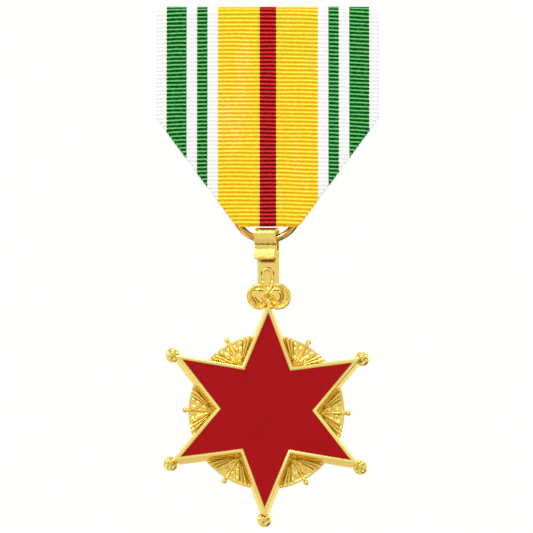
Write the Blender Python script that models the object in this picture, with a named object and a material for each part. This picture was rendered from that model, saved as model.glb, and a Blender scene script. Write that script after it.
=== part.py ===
"""A full-size service medal: a ribbon drape on a pin brooch, a jump ring, and a six-pointed enamelled star.

Metres, +Z up. The front faces -Y and +X is the viewer's right. The origin is the middle of the brooch
plate's rear face, where the brooch lies against the wearer's cloth.
"""

from math import cos, pi, radians, sin, tan, atan2, hypot

import bmesh
import bpy
from mathutils import Matrix, Vector

MM = 0.001
GAP = 0.3 * MM  # between pieces that rest on each other
FINE_GAP = 0.1 * MM  # between small pieces set into each other

# Ribbon drape: one loop of ribbon, with a front and a back layer.
RIBBON_WIDTH = 34.925 * MM
RIBBON_TOP = 4.6 * MM
DRAPE_LENGTH = 35.17 * MM
TAPER_START = 18.05 * MM  # below the ribbon's top, on the side edges
DRAPE_FOOT_HALF = 4.95 * MM
CLOTH = 0.5 * MM
FOOT_WEB_HALF = 2.75 * MM  # the part of the bottom fold that passes through the ring
FOOT_RISE = 0.5 * MM  # the back layer ends this much higher
FOOT_ROUNDING = 0.4 * MM
INNER_ROUNDING = 0.05 * MM
SLOT_HEIGHT = 3.0 * MM  # of the cutter beside the web, half of it below the ribbon
CORNER_CLOTH = 0.4 * MM
CORNER_SCALE = 0.94  # keeps the folded corners clear of each other and of the edges

# Brooch.
PLATE_SIZE = (30.0 * MM, 0.6 * MM, 5.2 * MM)
BAR_SIZE = (33.2 * MM, 0.8 * MM, 6.9 * MM)
BAR_Z = 0.25 * MM
BAR_GAP = 0.35 * MM  # between the bar and the ribbon's rear layer
PLATE_EDGE = 0.15 * MM
RIVET_X = 6.0 * MM
RIVET_RADIUS = 0.6 * MM
RIVET_HEAD_RADIUS = 1.1 * MM
RIVET_HEAD = 0.3 * MM
RIVET_CLEARANCE = 0.2 * MM
RIVET_REAR = 0.1 * MM  # gap under the rear head
RIVET_FRONT = 0.15 * MM  # gap under the front head
RIVET_CROWN = 0.7  # radius of the rear head's top, for each unit of the head's radius
HINGE_X = 12.0 * MM
CATCH_X = -12.0 * MM
PIN_Y = 2.0 * MM
PIN_RADIUS = 0.4 * MM
PIN_EYE_RADIUS = 0.85 * MM
PIN_EYE_HALF_HEIGHT = 0.8 * MM
PIN_OVERRUN = 1.6 * MM  # past the middle of the catch
HINGE_RIVET_RADIUS = 0.33 * MM
EAR = 0.5 * MM
EAR_GAP = 0.2 * MM
BRACKET_SOLE = 0.4 * MM
BRACKET_HALF_WIDTH = 1.3 * MM
HINGE_HEAD_RADII = (0.4 * MM, 0.7 * MM)
HINGE_HEAD = 0.3 * MM
PIN_TAPER = 5.0 * MM
PIN_TIP_RADIUS = 0.08 * MM
CATCH_RING_RADII = (1.25 * MM, 1.7 * MM)
SLEEVE_RADII = (0.65 * MM, 1.1 * MM)
CATCH_MOUTH_HALF = 0.62 * MM
SLEEVE_MOUTH_HALF = 0.54 * MM
SLEEVE_HALF_LENGTH = 1.5 * MM
BARREL_HALF_LENGTH = 0.6 * MM
CATCH_FOOT_HEIGHT = 2.4 * MM
CATCH_FOOT_OVERLAP = 0.25 * MM
LUG_SIZE = (0.5 * MM, 0.7 * MM)  # along the sleeve, and round it
LUG_INSET = 0.35 * MM  # its middle, from the sleeve's end
LUG_START = 0.85 * MM
LUG_REACH = 2.2 * MM
LUG_ANGLE = radians(70)  # from the sleeve's mouth

# Jump ring.
RING_RADIUS = 5.17 * MM
WIRE_RADIUS = 0.575 * MM
RING_DROP = 31.88 * MM  # centre, below the ribbon's top
RING_X = -0.13 * MM
RING_SLACK = 0.3 * MM  # between the wire and each layer of ribbon
RING_CUT = radians(2.0)

# Hanger strap, folded over the ring's wire.
STRAP_WIDTH = 3.4 * MM
STRAP = 0.42 * MM
EYE_RADIUS = 1.0 * MM
EYE_RISE = 0.37 * MM  # centre of the top bend, above the wire
STEM_Y = 0.1 * MM
STEM_END = -8.55 * MM
FLAP_END = -3.25 * MM
STEM_BEND = (-1.95 * MM, -1.6 * MM)  # where the stem's rear and front faces meet the bend
STRAP_SHIFT = 0.3 * MM
STRAP_SKEW = 0.43  # sideways shift of the flap for each unit of depth

# Star pendant.
STAR_DROP = 64.1 * MM
STAR_X = -0.157 * MM
STAR_LEAN = radians(1.1)
POINTS = 6
ENAMEL_TIP = 15.3 * MM
ENAMEL_VALLEY = 7.15 * MM
BORDER_FRONT = 0.42 * MM
BORDER_BACK = 0.95 * MM  # the star's sides slope out towards its back
STAR_FRONT = -1.75 * MM
STAR_BACK = 0.7 * MM
RECESS_DEPTH = 0.5 * MM
ENAMEL_THICKNESS = 0.32 * MM
ARM_GAP = 0.15 * MM  # between each cut arm and its ball
FINIAL_CIRCLE = 17.1 * MM
FINIAL_RADIUS = 1.17 * MM
FINIAL_Y = 0.3 * MM
DISC_RADIUS = 12.2 * MM
DISC_FRONT = 1.0 * MM
DISC_BACK = 1.8 * MM
DISC_EDGE = 0.15 * MM
PIN_HEAD_RADIUS = 0.42 * MM
PIN_HEAD_CIRCLE = 12.78 * MM
PIN_SHANK_RADIUS = 0.2 * MM
PIN_SHANK_START = 9.4 * MM
KNOT_LOBE_RADIUS = 2.1 * MM
KNOT_LOBE_OFFSET = 1.4 * MM
KNOT_X = 0.365 * MM
KNOT_Z = -9.11 * MM
KNOT_FRONT = -1.3 * MM
KNOT_BACK = -0.42 * MM
CORD_LOOP_HALF = (0.9 * MM, 1.08 * MM)
CORD_LOOP_Z = -5.55 * MM
CORD_RADIUS = 0.22 * MM
KNOT_CLEARANCE = 0.2 * MM  # round the top ball
CUT_PAST = 2.0 * MM  # how far a cutter runs past the faces it opens

# Values that follow from the ones above.
ribbon_bottom = RIBBON_TOP - DRAPE_LENGTH
ribbon_half_depth = WIRE_RADIUS + RING_SLACK + CLOTH
ribbon_y = -PLATE_SIZE[1] - GAP - ribbon_half_depth
ring_centre = Vector((RING_X, ribbon_y, RIBBON_TOP - RING_DROP))
wire_low = ring_centre - Vector((0, 0, RING_RADIUS))
star_centre = Vector((STAR_X, ribbon_y, RIBBON_TOP - STAR_DROP))


def clear_scene():
    for old in list(bpy.data.objects):
        bpy.data.objects.remove(old, do_unlink=True)


def make_material(name, colour, roughness, metallic):
    material = bpy.data.materials.new(name)
    material.use_nodes = True
    shader = material.node_tree.nodes["Principled BSDF"]
    shader.inputs["Base Color"].default_value = (*colour, 1.0)
    shader.inputs["Roughness"].default_value = roughness
    shader.inputs["Metallic"].default_value = metallic
    return material


def make_object(name, mesh_edit, look, smooth=True):
    """Turns a bmesh into a named object with its own copy of a material."""
    bmesh.ops.recalc_face_normals(mesh_edit, faces=mesh_edit.faces)
    mesh = bpy.data.meshes.new(name)
    mesh_edit.to_mesh(mesh)
    mesh_edit.free()
    if smooth:
        mesh.shade_smooth()
        mesh.set_sharp_from_angle(angle=radians(35))
    mesh.materials.append(make_material(name, *look))
    made = bpy.data.objects.new(name, mesh)
    bpy.context.scene.collection.objects.link(made)
    return made


def make_empty(name, location, parent=None, lean=0.0):
    empty = bpy.data.objects.new(name, None)
    empty.location = location
    empty.rotation_euler = (0, lean, 0)
    empty.parent = parent
    bpy.context.scene.collection.objects.link(empty)
    return empty


def place(made, location=(0, 0, 0), parent=None):
    made.location = location
    made.parent = parent
    return made


def loft(rings, closed=False):
    """Joins rings of points into a tube, with end caps unless it closes on itself."""
    edit = bmesh.new()
    rows = [[edit.verts.new(point) for point in ring] for ring in rings]
    count = len(rows[0])
    pairs = list(zip(rows, rows[1:]))
    if closed:
        pairs.append((rows[-1], rows[0]))
    for low, high in pairs:
        for i in range(count):
            j = (i + 1) % count
            edit.faces.new((low[i], low[j], high[j], high[i]))
    if not closed:
        edit.faces.new(rows[0])
        edit.faces.new(rows[-1])
    return edit


def prism(outline, low, high, axis="Y"):
    """A flat outline pushed along an axis. The outline is (x, z) for Y and (y, z) for X."""
    if axis == "Y":
        return loft([[(x, level, z) for x, z in outline] for level in (low, high)])
    return loft([[(level, y, z) for y, z in outline] for level in (low, high)])


def turned(profile, axis, segments=24):
    """A solid turned about an axis through the origin, from (radius, distance along) pairs."""
    turn = {"X": Matrix.Rotation(pi / 2, 3, "Y"), "Y": Matrix.Rotation(-pi / 2, 3, "X")}.get(axis)
    rings = []
    for radius, along in profile:
        ring = []
        for i in range(segments):
            angle = 2 * pi * i / segments
            point = Vector((radius * cos(angle), radius * sin(angle), along))
            ring.append(turn @ point if turn else point)
        rings.append(ring)
    return loft(rings)


def ball(radius, segments=16, rings=9):
    edit = bmesh.new()
    bmesh.ops.create_uvsphere(edit, u_segments=segments, v_segments=rings, radius=radius)
    return edit


def block(size, centre=(0, 0, 0)):
    edit = bmesh.new()
    bmesh.ops.create_cube(edit, size=1.0)
    bmesh.ops.scale(edit, vec=size, verts=edit.verts)
    bmesh.ops.translate(edit, vec=centre, verts=edit.verts)
    return edit


def arc(centre, radius, start, end, steps):
    """Points on an arc, in degrees."""
    points = []
    for i in range(steps + 1):
        angle = radians(start + (end - start) * i / steps)
        points.append((centre[0] + radius * cos(angle), centre[1] + radius * sin(angle)))
    return points


def wire(path, radius, closed, sides=10):
    """A round wire along points in a plane of constant Y."""
    count = len(path)
    rings = []
    for i, (x, y, z) in enumerate(path):
        before = path[i - 1] if i or closed else path[i]
        after = path[(i + 1) % count] if i < count - 1 or closed else path[i]
        heading = atan2(after[2] - before[2], after[0] - before[0])
        across = Vector((-sin(heading), 0, cos(heading)))
        ring = []
        for k in range(sides):
            angle = 2 * pi * k / sides
            ring.append(Vector((x, y, z)) + radius * (cos(angle) * across + sin(angle) * Vector((0, 1, 0))))
        rings.append(ring)
    return loft(rings, closed)


def cut(target, name, cutter_edit, location=(0, 0, 0), parent=None):
    """Takes a cutter away from a target."""
    cutter = make_object(name, cutter_edit, (GILT_COLOUR, 0.5, 0.0), smooth=False)
    place(cutter, location, parent)
    cutter.hide_render = True
    cutter.display_type = "WIRE"
    boolean = target.modifiers.new(name, "BOOLEAN")
    boolean.operation = "DIFFERENCE"
    boolean.solver = "EXACT"
    boolean.object = cutter


GILT_COLOUR = (0.80, 0.55, 0.14)
GILT = (GILT_COLOUR, 0.18, 1.0)
RING_GILT = ((0.62, 0.38, 0.10), 0.22, 1.0)
BRASS = ((0.63, 0.45, 0.16), 0.35, 1.0)
STEEL = ((0.60, 0.60, 0.62), 0.25, 1.0)
ENAMEL = ((0.37, 0.009, 0.011), 0.08, 0.0)
FABRIC = ((0.90, 0.58, 0.03), 0.85, 0.0)


def taper_corner(side):
    """The bottom corner of the full ribbon, folded away along the taper, as an (x, z) triangle."""
    shoulder = (side * RIBBON_WIDTH / 2, RIBBON_TOP - TAPER_START)
    foot = (side * DRAPE_FOOT_HALF, ribbon_bottom)
    corner = (side * RIBBON_WIDTH / 2, ribbon_bottom)
    return shoulder, foot, corner


def ribbon_section():
    """Outer and inner (y, z) outlines of the loop, round at the top and nearly square at the foot."""
    sections = []
    for inset in (0.0, CLOTH):
        depth = ribbon_half_depth - inset
        top_centre = (0, RIBBON_TOP - ribbon_half_depth)
        foot = ribbon_bottom + inset
        rounding = max(FOOT_ROUNDING - inset, INNER_ROUNDING)
        outline = arc(top_centre, depth, 0, 180, 12)
        outline += arc((-depth + rounding, foot + rounding), rounding, 180, 270, 4)
        outline += arc((depth - rounding, foot + FOOT_RISE + rounding), rounding, 270, 360, 4)
        sections.append(outline)
    return sections


def build_ribbon():
    outer, inner = ribbon_section()
    half = RIBBON_WIDTH / 2
    edit = bmesh.new()
    rows = []
    for x, outline in ((-half, outer), (half, outer), (half, inner), (-half, inner)):
        rows.append([edit.verts.new((x, y, z)) for y, z in outline])
    for low, high in zip(rows, rows[1:] + rows[:1]):
        for i in range(len(low)):
            j = (i + 1) % len(low)
            edit.faces.new((low[i], low[j], high[j], high[i]))
    drape = place(make_object("ribbon_drape", edit, FABRIC), (0, ribbon_y, 0))
    for side, word in ((-1, "left"), (1, "right")):
        shoulder, foot, corner = taper_corner(side)
        slope = (shoulder[1] - foot[1]) / (shoulder[0] - foot[0])
        far = (shoulder[0] + side * CUT_PAST, shoulder[1] + side * CUT_PAST * slope)
        low = (foot[0] - side * CUT_PAST / abs(slope), foot[1] - CUT_PAST)
        triangle = [far, low, (far[0], low[1])]
        cut(drape, f"taper_cutter_{word}", prism(triangle, ribbon_y - 5 * MM, ribbon_y + 5 * MM))
        slot_width = half - FOOT_WEB_HALF
        slot_size = (slot_width, 2 * (ribbon_half_depth - CLOTH), SLOT_HEIGHT)
        slot_centre = (side * (FOOT_WEB_HALF + slot_width / 2), ribbon_y, ribbon_bottom)
        cut(drape, f"ring_slot_cutter_{word}", block(slot_size, slot_centre))
        hole_radius = RIVET_RADIUS + RIVET_CLEARANCE
        hole = turned([(hole_radius, 0), (hole_radius, 2 * CLOTH)], "Y")
        hole_y = -PLATE_SIZE[1] - GAP - 1.5 * CLOTH
        cut(drape, f"rivet_hole_cutter_{word}", hole, (side * RIVET_X, hole_y, 0))


def build_corner_folds():
    """The two lower corners of the ribbon, turned back along the taper and lying behind the drape."""
    front = ribbon_y + ribbon_half_depth + GAP
    for side, word in ((-1, "left"), (1, "right")):
        shoulder, foot, corner = taper_corner(side)
        along = Vector((foot[0] - shoulder[0], foot[1] - shoulder[1])).normalized()
        to_corner = Vector(corner) - Vector(shoulder)
        base = Vector(shoulder) + along * to_corner.dot(along)
        tip = 2 * base - Vector(corner)
        middle = (Vector(shoulder) + Vector(foot) + tip) / 3
        triangle = [tuple(middle + CORNER_SCALE * (Vector(p) - middle)) for p in (shoulder, foot, tip)]
        make_object(f"corner_fold_{word}", prism(triangle, front, front + CORNER_CLOTH), FABRIC)


def build_brooch():
    bar_y = -PLATE_SIZE[1] - GAP - CLOTH - BAR_GAP - BAR_SIZE[1] / 2
    bar = make_object("brooch_bar", block(BAR_SIZE, (0, bar_y, BAR_Z)), BRASS, smooth=False)
    plate = make_object("back_plate", block(PLATE_SIZE, (0, -PLATE_SIZE[1] / 2, 0)), BRASS, smooth=False)
    for piece in (bar, plate):
        soften = piece.modifiers.new("edges", "BEVEL")
        soften.width = PLATE_EDGE
        soften.segments = 1
    head_front = bar_y - BAR_SIZE[1] / 2 - RIVET_FRONT - RIVET_HEAD
    head_rear = RIVET_REAR
    for side, word in ((-1, "left"), (1, "right")):
        hole_radius = RIVET_RADIUS + RIVET_CLEARANCE
        hole = turned([(hole_radius, -CUT_PAST), (hole_radius, CUT_PAST)], "Y")
        cut(bar, f"bar_hole_cutter_{word}", hole, (side * RIVET_X, bar_y, 0))
        hole = turned([(hole_radius, -CUT_PAST), (hole_radius, CUT_PAST)], "Y")
        cut(plate, f"plate_hole_cutter_{word}", hole, (side * RIVET_X, -PLATE_SIZE[1] / 2, 0))
        profile = [
            (RIVET_HEAD_RADIUS, head_front),
            (RIVET_HEAD_RADIUS, head_front + RIVET_HEAD),
            (RIVET_RADIUS, head_front + RIVET_HEAD),
            (RIVET_RADIUS, head_rear),
            (RIVET_HEAD_RADIUS, head_rear),
            (RIVET_CROWN * RIVET_HEAD_RADIUS, head_rear + RIVET_HEAD),
        ]
        rivet = make_object(f"plate_rivet_{word}", turned(profile, "Y"), BRASS)
        place(rivet, (side * RIVET_X, 0, 0))


def build_hinge():
    """A folded bracket with two ears, its rivet along Z, and the pin with its eye between the ears."""
    inside = PIN_EYE_HALF_HEIGHT + EAR_GAP
    outside = inside + EAR
    reach = PIN_Y + PIN_EYE_RADIUS
    sole = GAP + BRACKET_SOLE
    section = [
        (GAP, -outside),
        (reach, -outside),
        (reach, -inside),
        (sole, -inside),
        (sole, inside),
        (reach, inside),
        (reach, outside),
        (GAP, outside),
    ]
    width = BRACKET_HALF_WIDTH
    bracket = make_object("hinge_bracket", prism(section, -width, width, "X"), BRASS, smooth=False)
    place(bracket, (HINGE_X, 0, 0))
    hole_radius = HINGE_RIVET_RADIUS + FINE_GAP
    hole = turned([(hole_radius, -outside - CUT_PAST), (hole_radius, outside + CUT_PAST)], "Z", 16)
    cut(bracket, "bracket_hole_cutter", hole, (HINGE_X, PIN_Y, 0))

    head = outside + FINE_GAP
    profile = [
        (HINGE_HEAD_RADII[0], -head - HINGE_HEAD),
        (HINGE_HEAD_RADII[1], -head),
        (HINGE_RIVET_RADIUS, -head),
        (HINGE_RIVET_RADIUS, head),
        (HINGE_HEAD_RADII[1], head),
        (HINGE_HEAD_RADII[0], head + HINGE_HEAD),
    ]
    rivet = make_object("hinge_rivet", turned(profile, "Z", 16), STEEL)
    place(rivet, (HINGE_X, PIN_Y, 0))

    length = HINGE_X - CATCH_X + PIN_OVERRUN
    needle = [
        (PIN_RADIUS, -0.6 * PIN_EYE_RADIUS),
        (PIN_RADIUS, -length + PIN_TAPER),
        (0.6 * PIN_RADIUS, -length + 0.35 * PIN_TAPER),
        (PIN_TIP_RADIUS, -length),
    ]
    pin = make_object("pin_stem", turned(needle, "X", 12), STEEL)
    place(pin, (HINGE_X, PIN_Y, 0))
    eye_profile = [(PIN_EYE_RADIUS, -PIN_EYE_HALF_HEIGHT), (PIN_EYE_RADIUS, PIN_EYE_HALF_HEIGHT)]
    eye = make_object("pin_eye_shape", turned(eye_profile, "Z", 20), STEEL)
    place(eye, (HINGE_X, PIN_Y, 0))
    eye.hide_render = True
    eye.display_type = "WIRE"
    join = pin.modifiers.new("eye", "BOOLEAN")
    join.operation = "UNION"
    join.solver = "EXACT"
    join.object = eye
    hole = turned([(hole_radius, -outside - CUT_PAST), (hole_radius, outside + CUT_PAST)], "Z", 16)
    cut(pin, "pin_hole_cutter", hole, (HINGE_X, PIN_Y, 0))


def split_ring(inner, outer, mouth_half, steps=20):
    """A (y, z) ring section about the origin, open towards +Y for the pin."""
    outer_start = atan2(mouth_half, outer)
    inner_start = atan2(mouth_half, inner)
    outline = []
    for i in range(steps + 1):
        angle = outer_start + (2 * pi - 2 * outer_start) * i / steps
        outline.append((outer * cos(angle), outer * sin(angle)))
    for i in range(steps + 1):
        angle = 2 * pi - inner_start - (2 * pi - 2 * inner_start) * i / steps
        outline.append((inner * cos(angle), inner * sin(angle)))
    return outline


def build_catch():
    """A fixed split barrel on a foot, and a split sleeve inside it that turns to lock the pin in."""
    half_length = BARREL_HALF_LENGTH
    section = split_ring(*CATCH_RING_RADII, CATCH_MOUTH_HALF)
    base = make_object("catch_base", prism(section, -half_length, half_length, "X"), BRASS)
    place(base, (CATCH_X, PIN_Y, 0))
    foot_low = GAP - PIN_Y
    foot_high = -CATCH_RING_RADII[1] + CATCH_FOOT_OVERLAP
    foot_size = (2 * half_length, foot_high - foot_low, CATCH_FOOT_HEIGHT)
    foot = make_object("catch_foot_shape", block(foot_size, (0, (foot_low + foot_high) / 2, 0)), BRASS)
    place(foot, (CATCH_X, PIN_Y, 0))
    foot.hide_render = True
    foot.display_type = "WIRE"
    join = base.modifiers.new("foot", "BOOLEAN")
    join.operation = "UNION"
    join.solver = "EXACT"
    join.object = foot

    section = split_ring(*SLEEVE_RADII, SLEEVE_MOUTH_HALF)
    sleeve_shape = prism(section, -SLEEVE_HALF_LENGTH, SLEEVE_HALF_LENGTH, "X")
    sleeve = make_object("catch_sleeve", sleeve_shape, BRASS)
    place(sleeve, (CATCH_X, PIN_Y, 0))
    lug_length = LUG_REACH - LUG_START
    lug_middle = LUG_REACH - lug_length / 2
    lug_x = -SLEEVE_HALF_LENGTH + LUG_INSET
    lug_edit = block((LUG_SIZE[0], lug_length, LUG_SIZE[1]), (lug_x, lug_middle, 0))
    turn = Matrix.Rotation(LUG_ANGLE, 3, "X")
    bmesh.ops.rotate(lug_edit, cent=(0, 0, 0), matrix=turn, verts=lug_edit.verts)
    lug = make_object("sleeve_lug_shape", lug_edit, BRASS)
    place(lug, (CATCH_X, PIN_Y, 0))
    lug.hide_render = True
    lug.display_type = "WIRE"
    join = sleeve.modifiers.new("lug", "BOOLEAN")
    join.operation = "UNION"
    join.solver = "EXACT"
    join.object = lug


def build_ring():
    """A jump ring of round wire, cut at the top, inside the ribbon's foot."""
    steps = 56
    path = []
    for i in range(steps + 1):
        angle = pi / 2 + RING_CUT / 2 + (2 * pi - RING_CUT) * i / steps
        path.append((RING_RADIUS * cos(angle), 0, RING_RADIUS * sin(angle)))
    place(make_object("suspension_ring", wire(path, WIRE_RADIUS, False), RING_GILT), ring_centre)


def strap_section():
    """The strap from the side, as (y, z) about the wire: stem, bend over the wire, and front flap."""
    outer = EYE_RADIUS + STRAP
    stem_rear = STEM_Y + STRAP / 2
    stem_front = STEM_Y - STRAP / 2
    outline = [(stem_rear, STEM_END), (stem_rear, STEM_BEND[0])]
    outline += arc((0, 0), outer, -48, 0, 5)
    outline += arc((0, EYE_RISE), outer, 0, 180, 16)
    outline += [
        (-outer, -0.15 * MM),
        (-1.08 * MM, -0.92 * MM),
        (-1.15 * MM, -1.6 * MM),
        (-1.47 * MM, FLAP_END + 0.15 * MM),
        (-1.40 * MM, FLAP_END),
        (-1.05 * MM, FLAP_END),
        (-0.72 * MM, -1.6 * MM),
        (stem_front, STEM_BEND[1]),
        (stem_front, STEM_END),
    ]
    return outline


def build_hanger(pivot):
    half = STRAP_WIDTH / 2
    edit = prism(strap_section(), -half, half, "X")
    for vert in edit.verts:
        vert.co.x += STRAP_SHIFT + STRAP_SKEW * min(0.0, vert.co.y - STEM_Y)
    strap = place(make_object("hanger_strap", edit, GILT), (0, 0, 0), pivot)
    eye = arc((0, 0), EYE_RADIUS, 180, 360, 16) + arc((0, EYE_RISE), EYE_RADIUS, 0, 180, 16)
    cut(strap, "eye_cutter", prism(eye, -2 * half, 2 * half, "X"), (0, 0, 0), pivot)

    path = []
    for i in range(28):
        angle = 2 * pi * i / 28
        path.append((CORD_LOOP_HALF[0] * cos(angle), 0, CORD_LOOP_HALF[1] * sin(angle)))
    loop_y = STEM_Y - STRAP / 2 - FINE_GAP - CORD_RADIUS
    loop = make_object("cord_loop", wire(path, CORD_RADIUS, True, 8), GILT)
    place(loop, (STRAP_SHIFT, loop_y, CORD_LOOP_Z), pivot)


def star_outline(offset, cut_radius=None):
    """A six-pointed (x, z) outline, the enamel's edge moved out by an offset, with its tips cut square."""
    half_step = pi / POINTS
    rise = ENAMEL_TIP - ENAMEL_VALLEY * cos(half_step)
    tip_angle = atan2(ENAMEL_VALLEY * sin(half_step), rise)
    tip = ENAMEL_TIP + offset / sin(tip_angle)
    valley = ENAMEL_VALLEY + offset / sin(tip_angle + half_step)
    outline = []
    for i in range(POINTS):
        angle = pi / 2 + 2 * pi * i / POINTS
        if cut_radius and cut_radius < tip:
            half_cut = (tip - cut_radius) * tan(tip_angle)
            for side in (-1, 1):
                reach = hypot(cut_radius, half_cut)
                turn = angle + side * atan2(half_cut, cut_radius)
                outline.append((reach * cos(turn), reach * sin(turn)))
        else:
            outline.append((tip * cos(angle), tip * sin(angle)))
        turn = angle + half_step
        outline.append((valley * cos(turn), valley * sin(turn)))
    return outline


def build_star(star):
    """The tray with its raised border, and the enamel that fills it."""
    tip_cut = FINIAL_CIRCLE - FINIAL_RADIUS - ARM_GAP
    rings = []
    for border, level in ((BORDER_FRONT, STAR_FRONT), (BORDER_BACK, STAR_BACK)):
        rings.append([(x, level, z) for x, z in star_outline(border, tip_cut)])
    body = loft(rings)
    frame = place(make_object("star_frame", body, GILT, smooth=False), parent=star)
    recess = prism(star_outline(FINE_GAP), STAR_FRONT - CUT_PAST, STAR_FRONT + RECESS_DEPTH)
    cut(frame, "recess_cutter", recess, parent=star)
    floor = STAR_FRONT + RECESS_DEPTH - FINE_GAP
    enamel = prism(star_outline(0.0), floor - ENAMEL_THICKNESS, floor)
    place(make_object("enamel_field", enamel, ENAMEL, smooth=False), parent=star)


def build_fans(star):
    """The disc whose six open sectors show as fans, and a ball-headed pin along the middle of each."""
    profile = [
        (DISC_RADIUS - DISC_EDGE, DISC_FRONT),
        (DISC_RADIUS, DISC_FRONT + DISC_EDGE),
        (DISC_RADIUS, DISC_BACK - DISC_EDGE),
        (DISC_RADIUS - DISC_EDGE, DISC_BACK),
    ]
    place(make_object("fan_disc", turned(profile, "Y", 72), GILT), parent=star)
    pin_y = DISC_FRONT - FINE_GAP - PIN_SHANK_RADIUS
    reach = PIN_HEAD_CIRCLE - 0.8 * PIN_HEAD_RADIUS
    profile = [(PIN_SHANK_RADIUS, PIN_SHANK_START), (PIN_SHANK_RADIUS, reach)]
    for i in range(1, 7):
        angle = radians(-60 + 145 * i / 6)
        profile.append((PIN_HEAD_RADIUS * cos(angle), PIN_HEAD_CIRCLE + PIN_HEAD_RADIUS * sin(angle)))
    for i in range(POINTS):
        edit = turned(profile, "X", 10)
        turn = Matrix.Rotation(-2 * pi * i / POINTS, 3, "Y")
        bmesh.ops.rotate(edit, cent=(0, 0, 0), matrix=turn, verts=edit.verts)
        place(make_object(f"fan_pin_{i + 1}", edit, GILT), (0, pin_y, 0), star)


def build_finials(star):
    for i in range(POINTS):
        angle = pi / 2 - 2 * pi * i / POINTS
        spot = (FINIAL_CIRCLE * cos(angle), FINIAL_Y, FINIAL_CIRCLE * sin(angle))
        place(make_object(f"finial_ball_{i + 1}", ball(FINIAL_RADIUS), GILT), spot, star)


def build_knot(pivot):
    """The two-lobed knot in front of the stem, cut away round the top finial."""
    waist = atan2((KNOT_LOBE_RADIUS**2 - KNOT_LOBE_OFFSET**2) ** 0.5, -KNOT_LOBE_OFFSET)
    limit = waist * 180 / pi
    outline = arc((KNOT_LOBE_OFFSET, 0), KNOT_LOBE_RADIUS, -limit, limit, 20)[:-1]
    outline += arc((-KNOT_LOBE_OFFSET, 0), KNOT_LOBE_RADIUS, 180 - limit, 180 + limit, 20)[:-1]
    knot = make_object("knot_ornament", prism(outline, KNOT_FRONT, KNOT_BACK), GILT)
    place(knot, (KNOT_X, 0, KNOT_Z), pivot)
    clearance = FINIAL_RADIUS + KNOT_CLEARANCE
    hole = turned([(clearance, KNOT_FRONT - CUT_PAST), (clearance, KNOT_BACK + CUT_PAST)], "Y")
    rise = star_centre - wire_low
    spot = (rise.x + FINIAL_CIRCLE * sin(STAR_LEAN), 0, rise.z + FINIAL_CIRCLE * cos(STAR_LEAN))
    cut(knot, "finial_clearance_cutter", hole, spot, pivot)


def main():
    clear_scene()
    build_ribbon()
    build_corner_folds()
    build_brooch()
    build_hinge()
    build_catch()
    build_ring()
    pivot = make_empty("pendant_pivot", wire_low)
    star = make_empty("star_middle", star_centre - wire_low, pivot, STAR_LEAN)
    build_hanger(pivot)
    build_knot(pivot)
    build_star(star)
    build_fans(star)
    build_finials(star)


main()
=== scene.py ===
"""The finished looks of a six-pointed service medal on its ribbon drape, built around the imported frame.

Metres, +Z up, front towards -Y. Places come from the CAD nodes' boxes; sizes are named values in metres.
"""

from itertools import accumulate
from math import atan2, cos, hypot, pi, radians, sin, sqrt, tan

import bmesh
import bpy
import numpy as np
from mathutils import Matrix, Vector, noise


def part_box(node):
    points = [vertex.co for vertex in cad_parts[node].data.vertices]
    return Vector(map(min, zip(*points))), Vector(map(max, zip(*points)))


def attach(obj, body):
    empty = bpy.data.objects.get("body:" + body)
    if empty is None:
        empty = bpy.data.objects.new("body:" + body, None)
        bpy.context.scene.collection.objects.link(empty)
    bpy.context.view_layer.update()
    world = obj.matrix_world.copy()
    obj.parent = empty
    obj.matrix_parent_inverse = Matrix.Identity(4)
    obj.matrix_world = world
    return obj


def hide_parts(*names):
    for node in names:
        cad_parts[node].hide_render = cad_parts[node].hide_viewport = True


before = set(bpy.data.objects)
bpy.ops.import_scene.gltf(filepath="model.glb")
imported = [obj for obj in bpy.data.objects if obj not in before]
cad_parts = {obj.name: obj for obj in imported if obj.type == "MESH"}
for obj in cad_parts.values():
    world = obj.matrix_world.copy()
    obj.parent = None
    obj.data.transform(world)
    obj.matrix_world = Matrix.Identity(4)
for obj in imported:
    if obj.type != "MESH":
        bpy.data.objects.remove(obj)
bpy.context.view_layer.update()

MM = 0.001


def middle(node):
    low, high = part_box(node)
    return (low + high) / 2


# Places, from the frame.
ribbon_low, ribbon_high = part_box("ribbon_drape")
ring_low, ring_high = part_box("suspension_ring")
ring_centre = Vector((middle("suspension_ring").x, middle("suspension_ring").y, 0))
ring_centre.z = ring_low.z + (ring_high.x - ring_low.x) / 2
wire_radius = (ring_high.y - ring_low.y) / 2
ring_radius = (ring_high.x - ring_low.x) / 2 - wire_radius
pivot = ring_centre - Vector((0, 0, ring_radius))
top_ball, bottom_ball = middle("finial_ball_1"), middle("finial_ball_4")
star_lean = atan2(top_ball.x - bottom_ball.x, top_ball.z - bottom_ball.z)
star_place = Matrix.Translation((
    (top_ball.x + bottom_ball.x) / 2,
    ring_centre.y,
    (top_ball.z + bottom_ball.z) / 2,
)) @ Matrix.Rotation(star_lean, 4, "Y")
finial_circle = (top_ball - bottom_ball).length / 2
finial_radius = (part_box("finial_ball_1")[1].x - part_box("finial_ball_1")[0].x) / 2
POINTS = 6


# --- small tools


def new_object(name, data):
    made = bpy.data.objects.new(name, data)
    bpy.context.scene.collection.objects.link(made)
    return made


def set_finish(mesh, material):
    mesh.materials.clear()
    mesh.materials.append(material)


def smoothed(mesh, angle):
    """Smooth shading, apart from edges sharper than an angle in degrees."""
    mesh.shade_smooth()
    mesh.set_sharp_from_angle(angle=radians(angle))
    return mesh


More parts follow.
